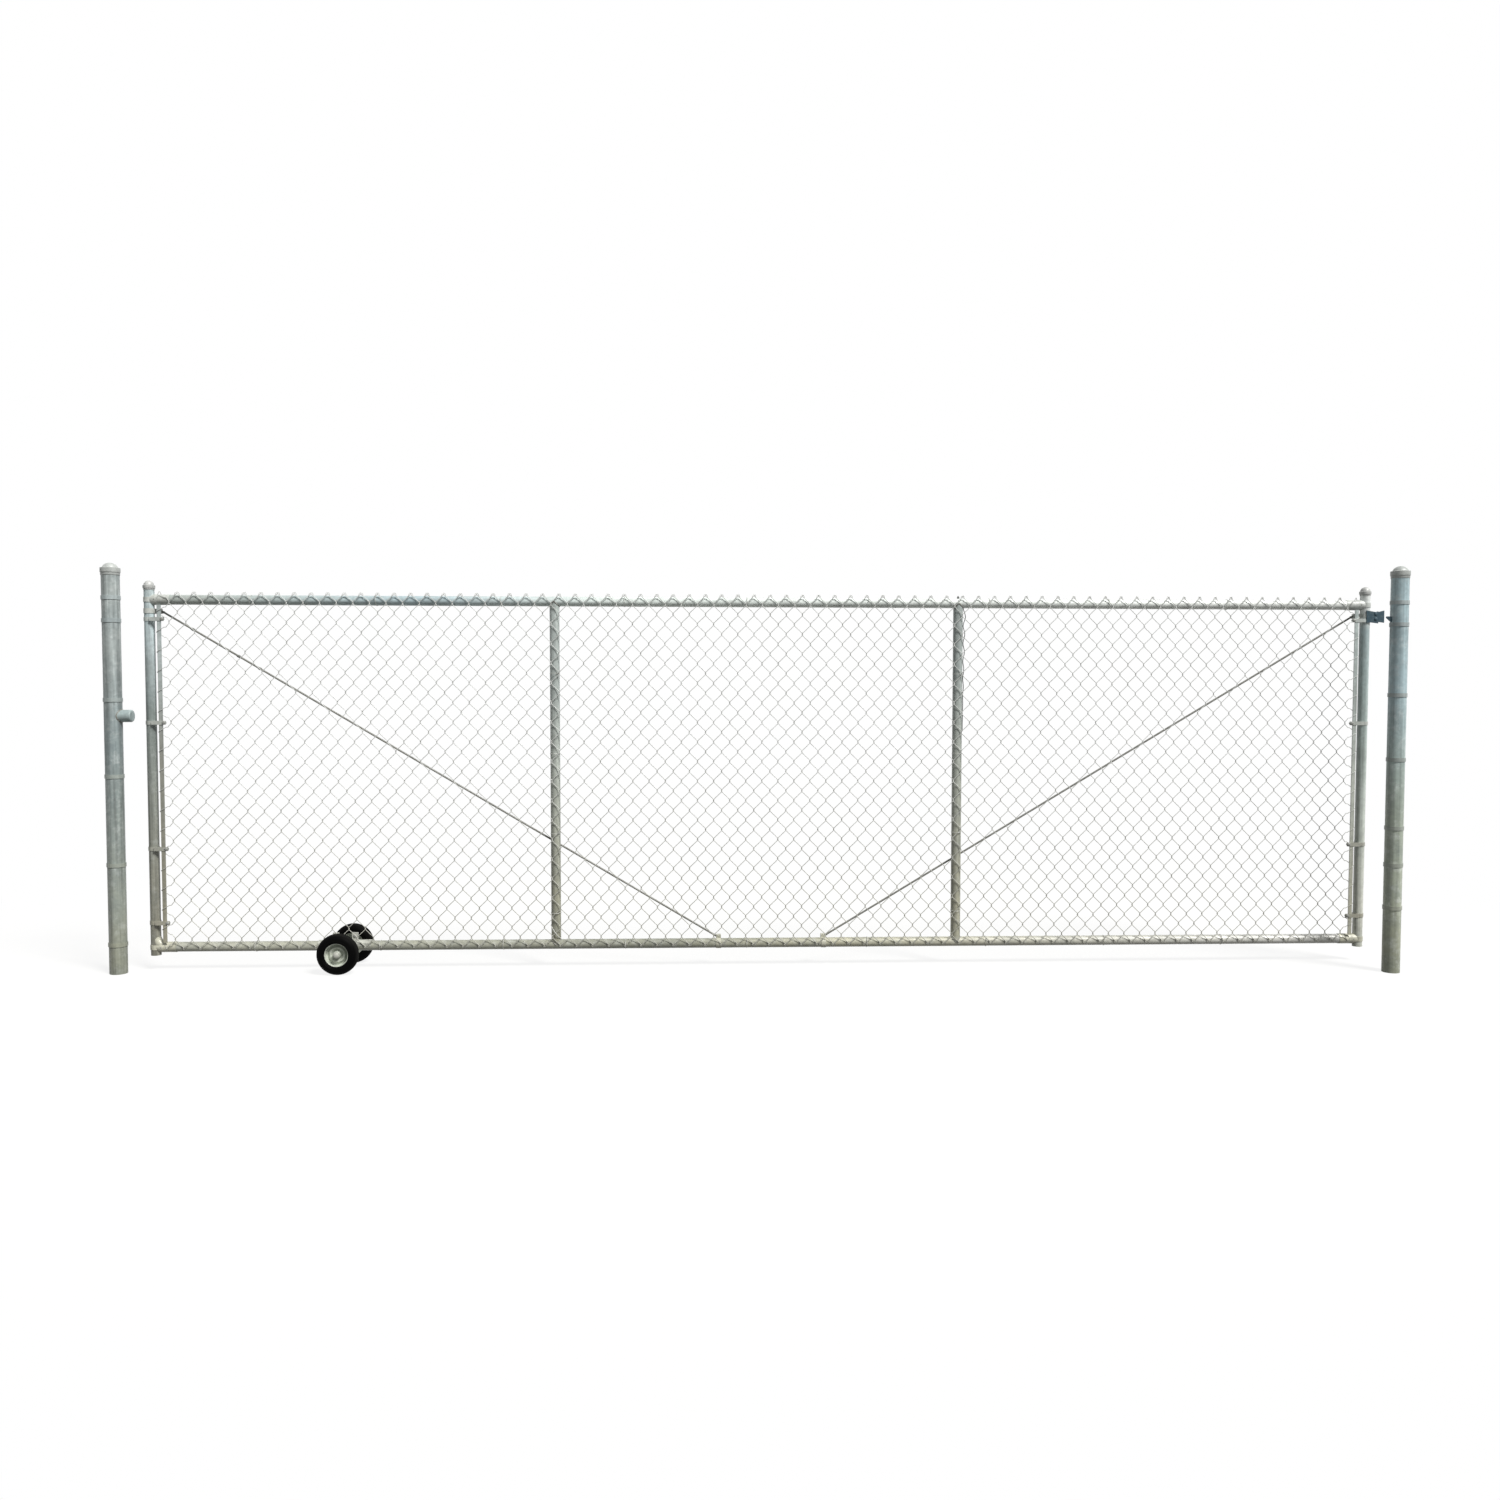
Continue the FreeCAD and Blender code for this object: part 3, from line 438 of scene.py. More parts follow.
rail_zinc = zinc_finish("top_rail_zinc", RAIL_TONES_WITH_PAINTED_REFLECTION, RAIL_TARNISH, streak=0.14, grain=RAIL_GRAIN, dull=0.35,
                        along="X")
foot_rail_zinc = zinc_finish("bottom_rail_zinc", FOOT_RAIL_TONES, RAIL_TARNISH, streak=0.16, grain=RAIL_GRAIN,
                             dull=0.5, mud=0.3, bloom=0.3, along="X")
paint_nodes(rail_zinc, "top_rail")
paint_nodes(foot_rail_zinc, "bottom_rail")
low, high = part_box("top_rail")
leaf_y = (low.y + high.y) / 2
rail_radius = (high.z - low.z) / 2
rail_levels = {1.0: (low.z + high.z) / 2}
low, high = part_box("bottom_rail")
rail_levels[-1.0] = (low.z + high.z) / 2
beads = []
mid_places = []
for name in ("left_mid_upright", "right_mid_upright"):
    low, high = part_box(name)
    mid_radius = (high.x - low.x) / 2
    mid_places.append((low.x + high.x) / 2)
    for side, level in rail_levels.items():
        aside = mid_radius * np.sin(turns)
        saddle = np.sqrt(np.maximum(rail_radius**2 - aside**2, 0))
        along = mid_places[-1] + mid_radius * np.cos(turns)
        beads.append(weld_bead(np.stack([along, leaf_y + aside, level - side * saddle], 1), (0, 0, 1)))
skin_piece("mid_upright_welds", beads, weld_zinc, "leaf")

# Corner fittings, tension bars and bands: pressed steel cups with smooth necks that take the rail ends, flat
# bars threaded through the end loops of the fabric, and bands that bolt each bar to its end pipe.
# The lower left corner is filled out by a round elbow. All are zinc plated, and the bars have dulled.
LEFT_BAR_TONES = {0.3: (150, 147, 130), 1.1: (134, 135, 128), 1.6: (190, 200, 200)}
RIGHT_BAR_TONES = {0.3: (172, 171, 156), 1.6: (186, 196, 195)}
BAND_TONES = {0.3: (158, 156, 142), 1.6: (188, 194, 191)}
CUP_BOLT_IN = 0.032
CUP_HALF = 0.0222
NECK_SECTION = [
    (0.006, 0.0235),
    (0.012, 0.0250),
    (0.018, 0.0258),
    (0.024, 0.0262),
    (0.045, 0.0262),
    (0.046, 0.0258),
]
ELBOW_BEND = 0.060
ELBOW_RADIUS = 0.0236
BAND_BOLT_INSET = 0.007
BAND_GRIP = 0.0098


def elbow(corner_x, corner_z):
    """A round elbow whose centre line is a quarter circle from the end pipe into the bottom rail."""
    turn = np.linspace(0, 0.5, 17) * math.pi
    x = corner_x + ELBOW_BEND * (1 - np.cos(turn))
    z = corner_z + ELBOW_BEND * (1 - np.sin(turn))
    return tube(np.stack([x, leaf_y + 0 * x, z], 1)[None], ELBOW_RADIUS, 32, (0, 1, 0)), False


corners = ("top_left_corner", "bottom_left_corner", "top_right_corner", "bottom_right_corner")
paint_nodes(fitting_zinc, *corners)
band_zinc = zinc_finish("tension_band_zinc", BAND_TONES, UPRIGHT_TARNISH, streak=0.1, size=150.0)
paint_nodes(band_zinc, "left_tension_bands", "right_tension_bands")
for bar, tones in (("left_tension_bar", LEFT_BAR_TONES), ("right_tension_bar", RIGHT_BAR_TONES)):
    paint_nodes(zinc_finish("%s_zinc" % bar, tones, UPRIGHT_TARNISH, streak=0.2), bar)
for side, inward in (("left", 1), ("right", -1)):
    pipe_low, pipe_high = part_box(side + "_upright")
    pipe_x = (pipe_low.x + pipe_high.x) / 2
    bands_low, bands_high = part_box(side + "_tension_bands")
    bolt_x = (bands_high.x if inward > 0 else bands_low.x) - inward * BAND_BOLT_INSET
    bar_low, bar_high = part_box(side + "_tension_bar")
    ear_front = (bar_low.y + bar_high.y - BAND_GRIP) / 2
    places = [(bolt_x, ear_front, level) for level in strap_levels(side + "_tension_bands")]
    batches = bolts(places, (0, 1, 0), BAND_GRIP)
    cups = [(pipe_x + inward * CUP_BOLT_IN, leaf_y - CUP_HALF, level) for level in rail_levels.values()]
    batches += bolts(cups, (0, 1, 0), 2 * CUP_HALF)
    skin_piece(side + "_fitting_bolts", batches, bolt_zinc, "leaf")
    ends = [(pipe_x, leaf_y, level) for level in rail_levels.values()]
    joints = [(lathe(NECK_SECTION, ends, (inward, 0, 0), 40), False)]
    if inward > 0:
        joints.append(elbow(pipe_x, rail_levels[-1.0]))
    skin_piece(side + "_corner_necks", joints, fitting_zinc, "leaf")

# Brace rods: long round rods behind the leaf, from a band on each end pipe down to one on the bottom rail.
# A nut tightens each end against its lug, and twists of wire are left on the left rod.
ROD_GREY = (134, 134, 128)
ROD_TARNISH = (88, 86, 76)
ROD_NUT = 0.0068
ROD_NUT_THICK = 0.006
ROD_NUT_START = 0.006
KNOT_WIRE = 0.0015
KNOT_TURNS = 3
KNOT_LENGTH = 0.014
KNOT_PLACES = (0.348, 0.569, 0.671)
rod_zinc = zinc_finish("brace_rod_zinc", {0: ROD_GREY}, ROD_TARNISH, streak=0.1,
                       grain=(20.0, 20.0, 20.0), size=200.0)
paint_nodes(rod_zinc, "left_brace_rod", "right_brace_rod")
paint_nodes(fitting_zinc, "left_upper_rod_band", "right_upper_rod_band")
paint_nodes(fitting_zinc, "left_lower_rod_band", "right_lower_rod_band")


def wire_knots(places, along, across, around):
    """Twists of wire round a rod: a helix of radius around, about the along direction, at each place."""
    other = np.cross(along, across)
    share = np.linspace(-0.5, 0.5, 12 * KNOT_TURNS)
    turn = share * KNOT_TURNS * 2 * math.pi
    swing = np.cos(turn)[:, None] * across + np.sin(turn)[:, None] * other
    coil = share[:, None] * KNOT_LENGTH * along + around * swing
    return tube(places[:, None] + coil, KNOT_WIRE, 6, along), False


for side, inward in (("left", 1), ("right", -1)):
    low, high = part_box(side + "_brace_rod")
    rod_radius = (high.y - low.y) / 2
    slant = math.atan2(high.z - low.z, high.x - low.x)
    trim = rod_radius / math.cos(slant)
    ends = [np.array([low.x, (low.y + high.y) / 2, 0]), np.array([high.x, (low.y + high.y) / 2, 0])]
    ends[0][2], ends[1][2] = (high.z - trim, low.z + trim)[::inward]
    along = (ends[1] - ends[0]) / np.linalg.norm(ends[1] - ends[0])
    inwards = ((ends[0], along), (ends[1], -along))
    batches = [hex_nut([end], way, ROD_NUT_START, ROD_NUT, ROD_NUT_THICK) for end, way in inwards]
    if inward > 0:
        reach = (np.array(KNOT_PLACES) - ends[0][0]) / along[0]
        batches.append(wire_knots(ends[0] + reach[:, None] * along, along, np.array([0.0, 1.0, 0.0]),
                                  rod_radius + KNOT_WIRE))
    skin_piece(side + "_rod_nuts", batches, bolt_zinc, "leaf")

# Chain-link fabric: each wire is a flat spiral, front leg rising right and back leg rising left, and hooks
# its neighbours at every bend; the end loops pass round the bars. Both edges are knuckled: the upper one
# stands above the top rail, and the lower one lies on the face of the bottom rail.
WIRE = 0.0034
DIAMOND_WIDTH = 0.0809
DIAMOND_HEIGHT = 0.0998
LEG_DEPTH = 0.0020
HOOK = 0.0019
BEND_HALF = 0.0055
TURN_HALF = 0.0042
KNUCKLE_REACH = (0.0, 0.0030, 0.0052, 0.0078, 0.0115)
KNUCKLE_DEPTH = (-1.0, -0.25, 1.3, 2.4, 2.5)
KNUCKLE_RISE = (-0.0008, 0.0018, 0.0005, -0.0055, -0.016)
LOOP_WAIST = 0.010
LOOP_SHOULDER = 0.017
WIRE_SIDES = 6
WIRE_CREASE = 80
WEAVE_FORWARD = 0.0018
WEAVE_LIFT = 0.020
BAR_REACH = 0.0210
BAR_FRONT = -0.0027
BAR_BACK = 0.0063
WIRE_TONES = {0.3: (186, 186, 177), 1.1: (215, 217, 215)}
WIRE_TARNISH = (154, 154, 147)
fabric_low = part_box("mesh_panel_1")[0]
fabric_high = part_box("mesh_panel_7")[1]
columns = round((fabric_high.x - fabric_low.x) / DIAMOND_WIDTH)
courses = round(2 * (fabric_high.z - fabric_low.z) / DIAMOND_HEIGHT)
pitch = (fabric_high.x - fabric_low.x) / columns
fabric_foot = fabric_low.z + WEAVE_LIFT
rise = 2 * (fabric_high.z - fabric_foot) / courses
fabric_y = (fabric_low.y + fabric_high.y) / 2 - WEAVE_FORWARD
PLAIN_OFFSETS = BEND_HALF * np.array([-1.0, -0.5, 0.0, 0.5, 1.0])
LOOP_RISES = np.array([BEND_HALF, LOOP_WAIST, LOOP_SHOULDER, rise / 4])
LOOP_OFFSETS = np.concatenate([-LOOP_RISES[::-1], [0.0], LOOP_RISES])


def spiral_paths(number, offsets):
    """Centre lines of numbered wires. Wire n zigzags between the upright lines n and n + 1, half a diamond
    apart. Near each bend, with s the height above it, the offset from the line is the hook's depth less a
    parabola in s inside the bend and a straight slope outside; the depth is a sine of s, from the back leg to
    the front leg or the other way. Returns x, y and z by wire, bend and offset, and each bend's side."""
    steps = np.arange(courses + 1)
    at_right = (number[:, None] + courses - steps) % 2 == 1
    line = np.where(at_right, number[:, None] + 1, number[:, None]) * (pitch / 2)
    sign = np.where(at_right, 1.0, -1.0)
    inside = np.abs(offsets) < BEND_HALF
    dip = np.where(inside, offsets**2 / (2 * BEND_HALF), np.abs(offsets) - BEND_HALF / 2)
    x = line[:, :, None] + sign[:, :, None] * (HOOK - pitch / rise * dip)
    y = sign[:, :, None] * LEG_DEPTH * np.sin(np.clip(offsets / TURN_HALF, -1, 1) * math.pi / 2)
    z = steps[None, :, None] * (rise / 2) + offsets + 0 * x
    return x, y, z, sign


def bar_wire(number, outward):
    """The first or last wire. Its outer bends are drawn out by a triangle of s so that they pass the bar, and
    their depth runs from behind the bar to in front of it."""
    x, y, z, sign = spiral_paths(np.array([number]), LOOP_OFFSETS)
    at_bar = (sign == outward)[:, :, None]
    at_bar[:, [0, -1]] = False
    drawn = BAR_REACH * np.clip(1 - np.abs(LOOP_OFFSETS) / (rise / 4), 0, 1)
    heights = [-rise / 4, -LOOP_SHOULDER, -BEND_HALF, BEND_HALF, LOOP_SHOULDER, rise / 4]
    depths = [LEG_DEPTH, BAR_BACK, BAR_BACK, BAR_FRONT, BAR_FRONT, -LEG_DEPTH]
    x = x + np.where(at_bar, outward * drawn, 0)
    y = np.where(at_bar, np.interp(-outward * LOOP_OFFSETS, heights, depths), y)
    return x, y, z, sign


def knuckle(sign, upward):
    """The hooked end of a wire, measured from its last crossing: over the crossing, round to the other face
    and back along the fabric, mirrored by the side that the wire comes from."""
    turned = sign[:, None]
    reach = turned * np.array(KNUCKLE_REACH)
    depth = turned * np.array(KNUCKLE_DEPTH) * LEG_DEPTH * upward
    height = np.array(KNUCKLE_RISE) * upward + 0 * reach
    return np.stack([reach, depth, height], 2)


def knuckled(number, x, y, z, sign):
    """Whole wires: the spiral between its first and last bends, with a knuckle on each end."""
    trim = (x.shape[2] + 1) // 2
    path = np.stack([x, y, z], 3).reshape(len(number), -1, 3)[:, trim:-trim]
    foot = knuckle(sign[:, 0], -1.0)
    foot[:, :, 0] += (np.where(sign[:, 0] > 0, number + 1, number) * (pitch / 2))[:, None]
    head = knuckle(sign[:, -1], 1.0)
    head[:, :, 0] += (np.where(sign[:, -1] > 0, number + 1, number) * (pitch / 2))[:, None]
    head[:, :, 2] += courses * rise / 2
    whole = np.concatenate([foot[:, ::-1], path, head], 1)
    whole += np.array([fabric_low.x, fabric_y, fabric_foot])
    return tube(whole, WIRE / 2, WIRE_SIDES, (0, 1, 0)), False


fabric_zinc = zinc_finish("fabric_wire_zinc", WIRE_TONES, WIRE_TARNISH, streak=0.08,
                          grain=(30.0, 30.0, 30.0), size=220.0)
for panel in range(1, 8):
    name = "mesh_panel_%d" % panel
    low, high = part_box(name)
    first = 2 * round((low.x - fabric_low.x) / pitch)
    last = 2 * round((high.x - fabric_low.x) / pitch)
    plain = np.arange(first + (first == 0), last - (last == 2 * columns))
    batches = [knuckled(plain, *spiral_paths(plain, PLAIN_OFFSETS))]
    if first == 0:
        batches.append(knuckled(np.array([0]), *bar_wire(0, -1.0)))
    if last == 2 * columns:
        batches.append(knuckled(np.array([last - 1]), *bar_wire(last - 1, 1.0)))
    woven = skin_piece("woven_fabric_%d" % panel, batches, fabric_zinc, "leaf", WIRE_CREASE)
    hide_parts(name)

# Tie wires: soft wire loops that hold the fabric to the rails and the middle pipes.
# Each goes once round the pipe and over the fabric in front of it; one slants round the left pipe's foot.
TIE_RADIUS = 0.0013
TIE_PITCH = 0.61
TIE_START = 0.45
TIE_STOP = 0.2
TIE_RISE = 0.40
TIE_LOWEST = 0.16
TIE_HIGHEST = 0.1
TIE_PULL = 0.0095
SLANT_WIRE = 0.0020
SLANT_LIFT = 0.062
SLANT_FALL = 0.034
TIE_PALE = (206, 207, 202)


def tie_loops(pipe_radius):
    """One closed tie about a pipe as (forward, sideways) offsets: a ring of the pipe's radius, drawn out at
    the front by a high power of the cosine so that it passes over the fabric."""
    turn = ring_turns(40)
    out = pipe_radius + TIE_RADIUS + TIE_PULL * np.clip(np.cos(turn), 0, 1) ** 5
    return out * np.cos(turn), out * np.sin(turn)


forward, sideways = tie_loops(rail_radius)
rail_low, rail_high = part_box("top_rail")
rail_ties = np.arange(rail_low.x + TIE_START, rail_high.x - TIE_STOP, TIE_PITCH)
x, z = (axis.ravel()[:, None] for axis in np.meshgrid(rail_ties, list(rail_levels.values())))
round_rails = np.stack([x + 0 * forward, leaf_y - forward + 0 * x, z + sideways], 2)
pipe_ties = np.arange(rail_levels[-1.0] + TIE_LOWEST, rail_levels[1.0] - TIE_HIGHEST, TIE_RISE)
x, z = (axis.ravel()[:, None] for axis in np.meshgrid(mid_places, pipe_ties))
round_pipes = np.stack([x + sideways, leaf_y - forward + 0 * x, z + 0 * forward], 2)
tie_wire = zinc_finish("tie_wire_metal", {0: TIE_PALE}, WIRE_TARNISH, streak=0.05,
                       grain=(40.0, 40.0, 40.0))
tie_batches = [(tube(round_rails, TIE_RADIUS, 6, (1, 0, 0), looped=True), True)]
tie_batches.append((tube(round_pipes, TIE_RADIUS, 6, (0, 0, 1), looped=True), True))
slanting = np.stack([
    mid_places[0] + sideways,
    leaf_y - forward,
    rail_levels[-1.0] + SLANT_LIFT - SLANT_FALL * sideways / rail_radius,
], 1)
tie_batches.append((tube(slanting[None], SLANT_WIRE, 8, (0, 0, 1), looped=True), True))
skin_piece("fabric_ties", tie_batches, tie_wire, "leaf", WIRE_CREASE)

# Loose wire: a length of old tie wire that wanders down the right middle pipe from a twist on the top rail.
# Soft steel wire, bent by hand and gone dark.
LOOSE_GREY = (78, 82, 80)
LOOSE_DARK = (44, 46, 44)
LOOSE_RADIUS = 0.0020
LOOSE_LENGTH = 0.62
LOOSE_SIDE = -0.25
LOOSE_SWING = 0.3
LOOSE_SWAY = 0.013
LOOSE_WAVES = 7
TWIST_SECTION = [(0.0, 0.0040), (0.004, 0.0065), (0.010, 0.0060), (0.014, 0.0042), (0.017, 0.0020)]


def loose_path():
    """Centre line of the loose wire: it falls evenly beside the pipe, swings about its right side by a sine
    of the fall, and stands off by waves that die out evenly."""
    fall = np.linspace(0, 1, 181)
    swing = LOOSE_SIDE + LOOSE_SWING * np.sin(math.pi * LOOSE_WAVES * fall)
    stand = LOOSE_SWAY * (1 - fall) * np.sin(math.pi * LOOSE_WAVES * fall) ** 2
    out = mid_radius + LOOSE_RADIUS + stand
    top = rail_levels[1.0] - rail_radius
    return np.stack([
        mid_places[1] + out * np.cos(swing),
        leaf_y + out * np.sin(swing),
        top - LOOSE_LENGTH * fall,
    ], 1)


loose_metal = zinc_finish("loose_wire_metal", {0: LOOSE_GREY}, LOOSE_DARK, streak=0.1,
                          grain=(60.0, 60.0, 60.0))
twist = [(mid_places[1], leaf_y, rail_levels[1.0] + rail_radius - TWIST_SECTION[1][0])]
loose = [(tube(loose_path()[None], LOOSE_RADIUS, 8, (0, 1, 0)), False)]
loose.append((lathe(TWIST_SECTION, twist, (0, 0, 1), 12), False))
skin_piece("loose_tie_wire", loose, loose_metal, "leaf", WIRE_CREASE)

# Wheel carrier: a saddle of bent plate over the bottom rail, a trough below it and a stub axle each side.
# Zinc-plated steel, dulled and muddy low down; each ear is bolted through, and a cap closes each axle end.
CARRIER_PALE = (196, 198, 190)
CARRIER_TARNISH = (132, 134, 120)
EAR_APART = 0.094
EAR_DROP = 0.017
EAR_HALF = 0.005
CAP_RADIUS = 0.0135
CAP_RISE = 0.005
carrier_zinc = zinc_finish("carrier_zinc", {0: CARRIER_PALE}, CARRIER_TARNISH, streak=0.12,
                           grain=(30.0, 30.0, 30.0), size=120.0, mud=0.5)
paint_nodes(carrier_zinc, "wheel_saddle", "wheel_axle")
low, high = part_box("front_tyre")
axle = Vector(((low.x + high.x) / 2, leaf_y, (low.z + high.z) / 2))
ear_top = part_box("wheel_saddle")[1].z
ears = [(axle.x + side * EAR_APART / 2, leaf_y - EAR_HALF, ear_top - EAR_DROP) for side in (-1, 1)]
skin_piece("saddle_bolts", bolts(ears, (0, 1, 0), 2 * EAR_HALF), bolt_zinc, "leaf")
axle_low, axle_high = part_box("wheel_axle")
swell = np.linspace(0, 0.46, 7) * math.pi
cap = np.stack([CAP_RISE * np.sin(swell), CAP_RADIUS * np.cos(swell)], 1)
caps = [
    (lathe(cap, [(axle.x, axle_low.y, axle.z)], (0, -1, 0), 24), False),
    (lathe(cap, [(axle.x, axle_high.y, axle.z)], (0, 1, 0), 24), False),
]
skin_piece("axle_end_caps", caps, carrier_zinc, "leaf")

# Wheels: solid rubber tyres moulded onto pressed steel hubs, one on each side of the leaf.
# The rounded tread is a little dusty, the sidewalls have raised rings, and the hubs dish round a plain boss.
WHEEL_SIDES = 96
TYRE_SHOULDER = 0.028
SIDEWALL_TUCK = 0.005
SIDEWALL_RINGS = (0.064, 0.069)
RING_RISE = 0.0012
RING_HALF = 0.0013
GROOVE_DEEP = 0.003
GROOVE_HALF = 0.0016
SEAT_GAP = 0.0002
RIM_LIP = 0.002
BOSS_RADIUS = 0.018
BOSS_BORE = 0.0096
BOSS_SET_IN = 0.005
BOSS_EDGE = 0.002
DISC_HALF = 0.0035
DISC_SET_IN = 0.026
DISH_DEPTH = 0.0055
DISH_CREST = 0.034
DISH_WAVE = 0.030
DUST_START = 0.008
DUST_FULL = 0.001
WHEEL_CREASE = 35
HUB_PALE = (190, 195, 184)
HUB_TARNISH = (92, 100, 84)
RUBBER_BLACK = (5, 5, 5)
TREAD_DUST = (26, 26, 25)
tyre_radius = (high.z - low.z) / 2
tyre_inner = leaf_y - high.y
tyre_outer = leaf_y - low.y
hub_low, hub_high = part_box("front_hub")
rim_radius = (hub_high.z - hub_low.z) / 2
hub_inner = leaf_y - hub_high.y
rim_outer = leaf_y - hub_low.y
rim_inner = tyre_inner + (tyre_outer - rim_outer)


def tyre_section():
    """Section of a tyre as (distance from the leaf's middle plane, radius), once round: up a sidewall that
    tucks in towards the rim as a square of the radius and carries raised rings, round a quarter-circle
    shoulder, across a tread with one narrow groove, and down the other side."""
    wall = np.linspace(rim_radius + SEAT_GAP, tyre_radius - TYRE_SHOULDER, 40)
    tuck = SIDEWALL_TUCK * ((wall[-1] - wall) / (wall[-1] - wall[0])) ** 2
    ridge = RING_RISE * np.exp(-(((wall[:, None] - np.array(SIDEWALL_RINGS)) / RING_HALF) ** 2)).sum(1)
    turn = np.linspace(0, 0.5, 9)[1:] * math.pi
    middle = (tyre_outer + tyre_inner) / 2
    flat = np.linspace(tyre_outer - TYRE_SHOULDER, middle, 50)[1:]
    groove = np.exp(-(((flat - middle) / GROOVE_HALF) ** 4))
    side = np.stack([tyre_outer - tuck + ridge, wall], 1)
    shoulder = np.stack([np.cos(turn), np.sin(turn)], 1) * TYRE_SHOULDER
    shoulder += np.array([tyre_outer - TYRE_SHOULDER, tyre_radius - TYRE_SHOULDER])
    half = np.concatenate([side, shoulder, np.stack([flat, tyre_radius - GROOVE_DEEP * groove], 1)])
    mirrored = half[-2::-1] * np.array([-1, 1]) + np.array([2 * middle, 0])
    return np.concatenate([half, mirrored])


def hub_section():
    """Section of a hub, once round: up the boss, out along a disc whose dish is a cosine of the radius, along
    the rim's wall and round its rolled lip, then back by the inner lip and the disc's other face."""
    radius = np.linspace(BOSS_RADIUS, rim_radius - 2 * RIM_LIP, 28)
    dish = rim_outer - DISC_SET_IN + DISH_DEPTH * np.cos(2 * math.pi * (radius - DISH_CREST) / DISH_WAVE)
    turn = np.linspace(-0.5, 0.5, 9) * math.pi
    roll = RIM_LIP * np.stack([np.cos(turn), np.sin(turn)], 1)
    outer_lip = roll + np.array([rim_outer - RIM_LIP, rim_radius - RIM_LIP])
    inner_lip = roll[::-1] * np.array([-1, 1]) + np.array([rim_inner + RIM_LIP, rim_radius - RIM_LIP])
    boss_end = rim_outer - BOSS_SET_IN
    return np.concatenate([
        [(hub_inner, BOSS_BORE), (boss_end, BOSS_BORE)],
        [(boss_end, BOSS_RADIUS - BOSS_EDGE), (boss_end - BOSS_EDGE, BOSS_RADIUS)],
        np.stack([dish + DISC_HALF, radius], 1),
        outer_lip,
        inner_lip,
        np.stack([dish - DISC_HALF, radius], 1)[::-1],
        [(hub_inner, BOSS_RADIUS)],
    ])


def rubber(name, sidewall, dust):
    """Black rubber whose tread is dusty: dust grows with the distance from the axle, broken up by noise."""
    material, tree, shader, place = new_finish(name, Specular_IOR_Level=0.03)
    centred = add_node(tree, "Mapping", Vector=place, Location=(-axle.x, 0, -axle.z))
    parts = add_node(tree, "SeparateXYZ", Vector=centred.outputs[0])
    flat = add_node(tree, "CombineXYZ", X=parts.outputs["X"], Z=parts.outputs["Z"])
    reach = add_node(tree, "VectorMath", {"operation": "LENGTH"}, i0=flat.outputs[0]).outputs["Value"]
    worn = add_node(tree, "MapRange", Value=reach, From_Min=tyre_radius - DUST_START,
                    From_Max=tyre_radius - DUST_FULL)
    speck = add_node(tree, "TexNoise", Vector=place, Scale=90.0, Detail=5.0, Roughness=0.7).outputs["Fac"]
    spread = add_node(tree, "MapRange", Value=speck, From_Min=0.2, From_Max=0.55)
    amount = add_node(tree, "Math", {"operation": "MULTIPLY"}, i0=worn.outputs[0], i1=spread.outputs[0])
    film = add_node(tree, "MapRange", Value=speck, From_Min=0.45, From_Max=0.8, To_Max=0.03)
    tint = blend_colour(tree, film.outputs[0], linear(sidewall), linear(dust))
    tint = blend_colour(tree, amount.outputs[0], tint, linear(dust))
    tree.links.new(tint, shader.inputs["Base Color"])
    gloss = add_node(tree, "MapRange", Value=amount.outputs[0], To_Min=0.55, To_Max=0.9)
    tree.links.new(gloss.outputs[0], shader.inputs["Roughness"])
    bump = add_node(tree, "Bump", Strength=0.25, Distance=0.001, Height=speck)
    tree.links.new(bump.outputs[0], shader.inputs["Normal"])
    return material


tyre_rubber = rubber("black_tyre_rubber", RUBBER_BLACK, TREAD_DUST)
hub_zinc = zinc_finish("dished_hub_zinc", {0: HUB_PALE}, HUB_TARNISH, streak=0.14,
                       grain=(30.0, 30.0, 30.0), size=160.0, dull=0.7, rough=(0.34, 0.55))
for wheel, side in (("front", -1), ("rear", 1)):
    for section, kind, finish, slot in (
        (tyre_section(), "tyre", tyre_rubber, "tyre_rubber"),
        (hub_section(), "hub", hub_zinc, "zinc_wheel_parts"),
    ):
        rings = lathe(section, [tuple(axle)], (0, side, 0), WHEEL_SIDES)
        name = "%s_wheel_%s" % (wheel, kind)
        turned = skin_piece(name, [(rings, True)], finish, wheel + "_wheel", WHEEL_CREASE)
        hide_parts("%s_%s" % (wheel, kind))

# Tail bracket: a waisted channel of steel plate with the right end pipe between its cheeks, coloured a dark
# blue-grey that is painted shade.
# Two bolts through both cheeks clamp it, beside the pipe, and carry the same painted shade.
BRACKET_BOLT_OUT = 0.018
BRACKET_BOLT_APART = 0.026
paint_nodes(bracket_painted_shade, "tail_bracket")
low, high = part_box("tail_bracket")
bolt_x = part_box("right_upright")[1].x + BRACKET_BOLT_OUT
bolt_z = (low.z + high.z) / 2
places = [(bolt_x, low.y, bolt_z + side * BRACKET_BOLT_APART / 2) for side in (-1, 1)]
skin_piece("bracket_bolts", bolts(places, (0, 1, 0), high.y - low.y), bracket_painted_shade, "leaf")

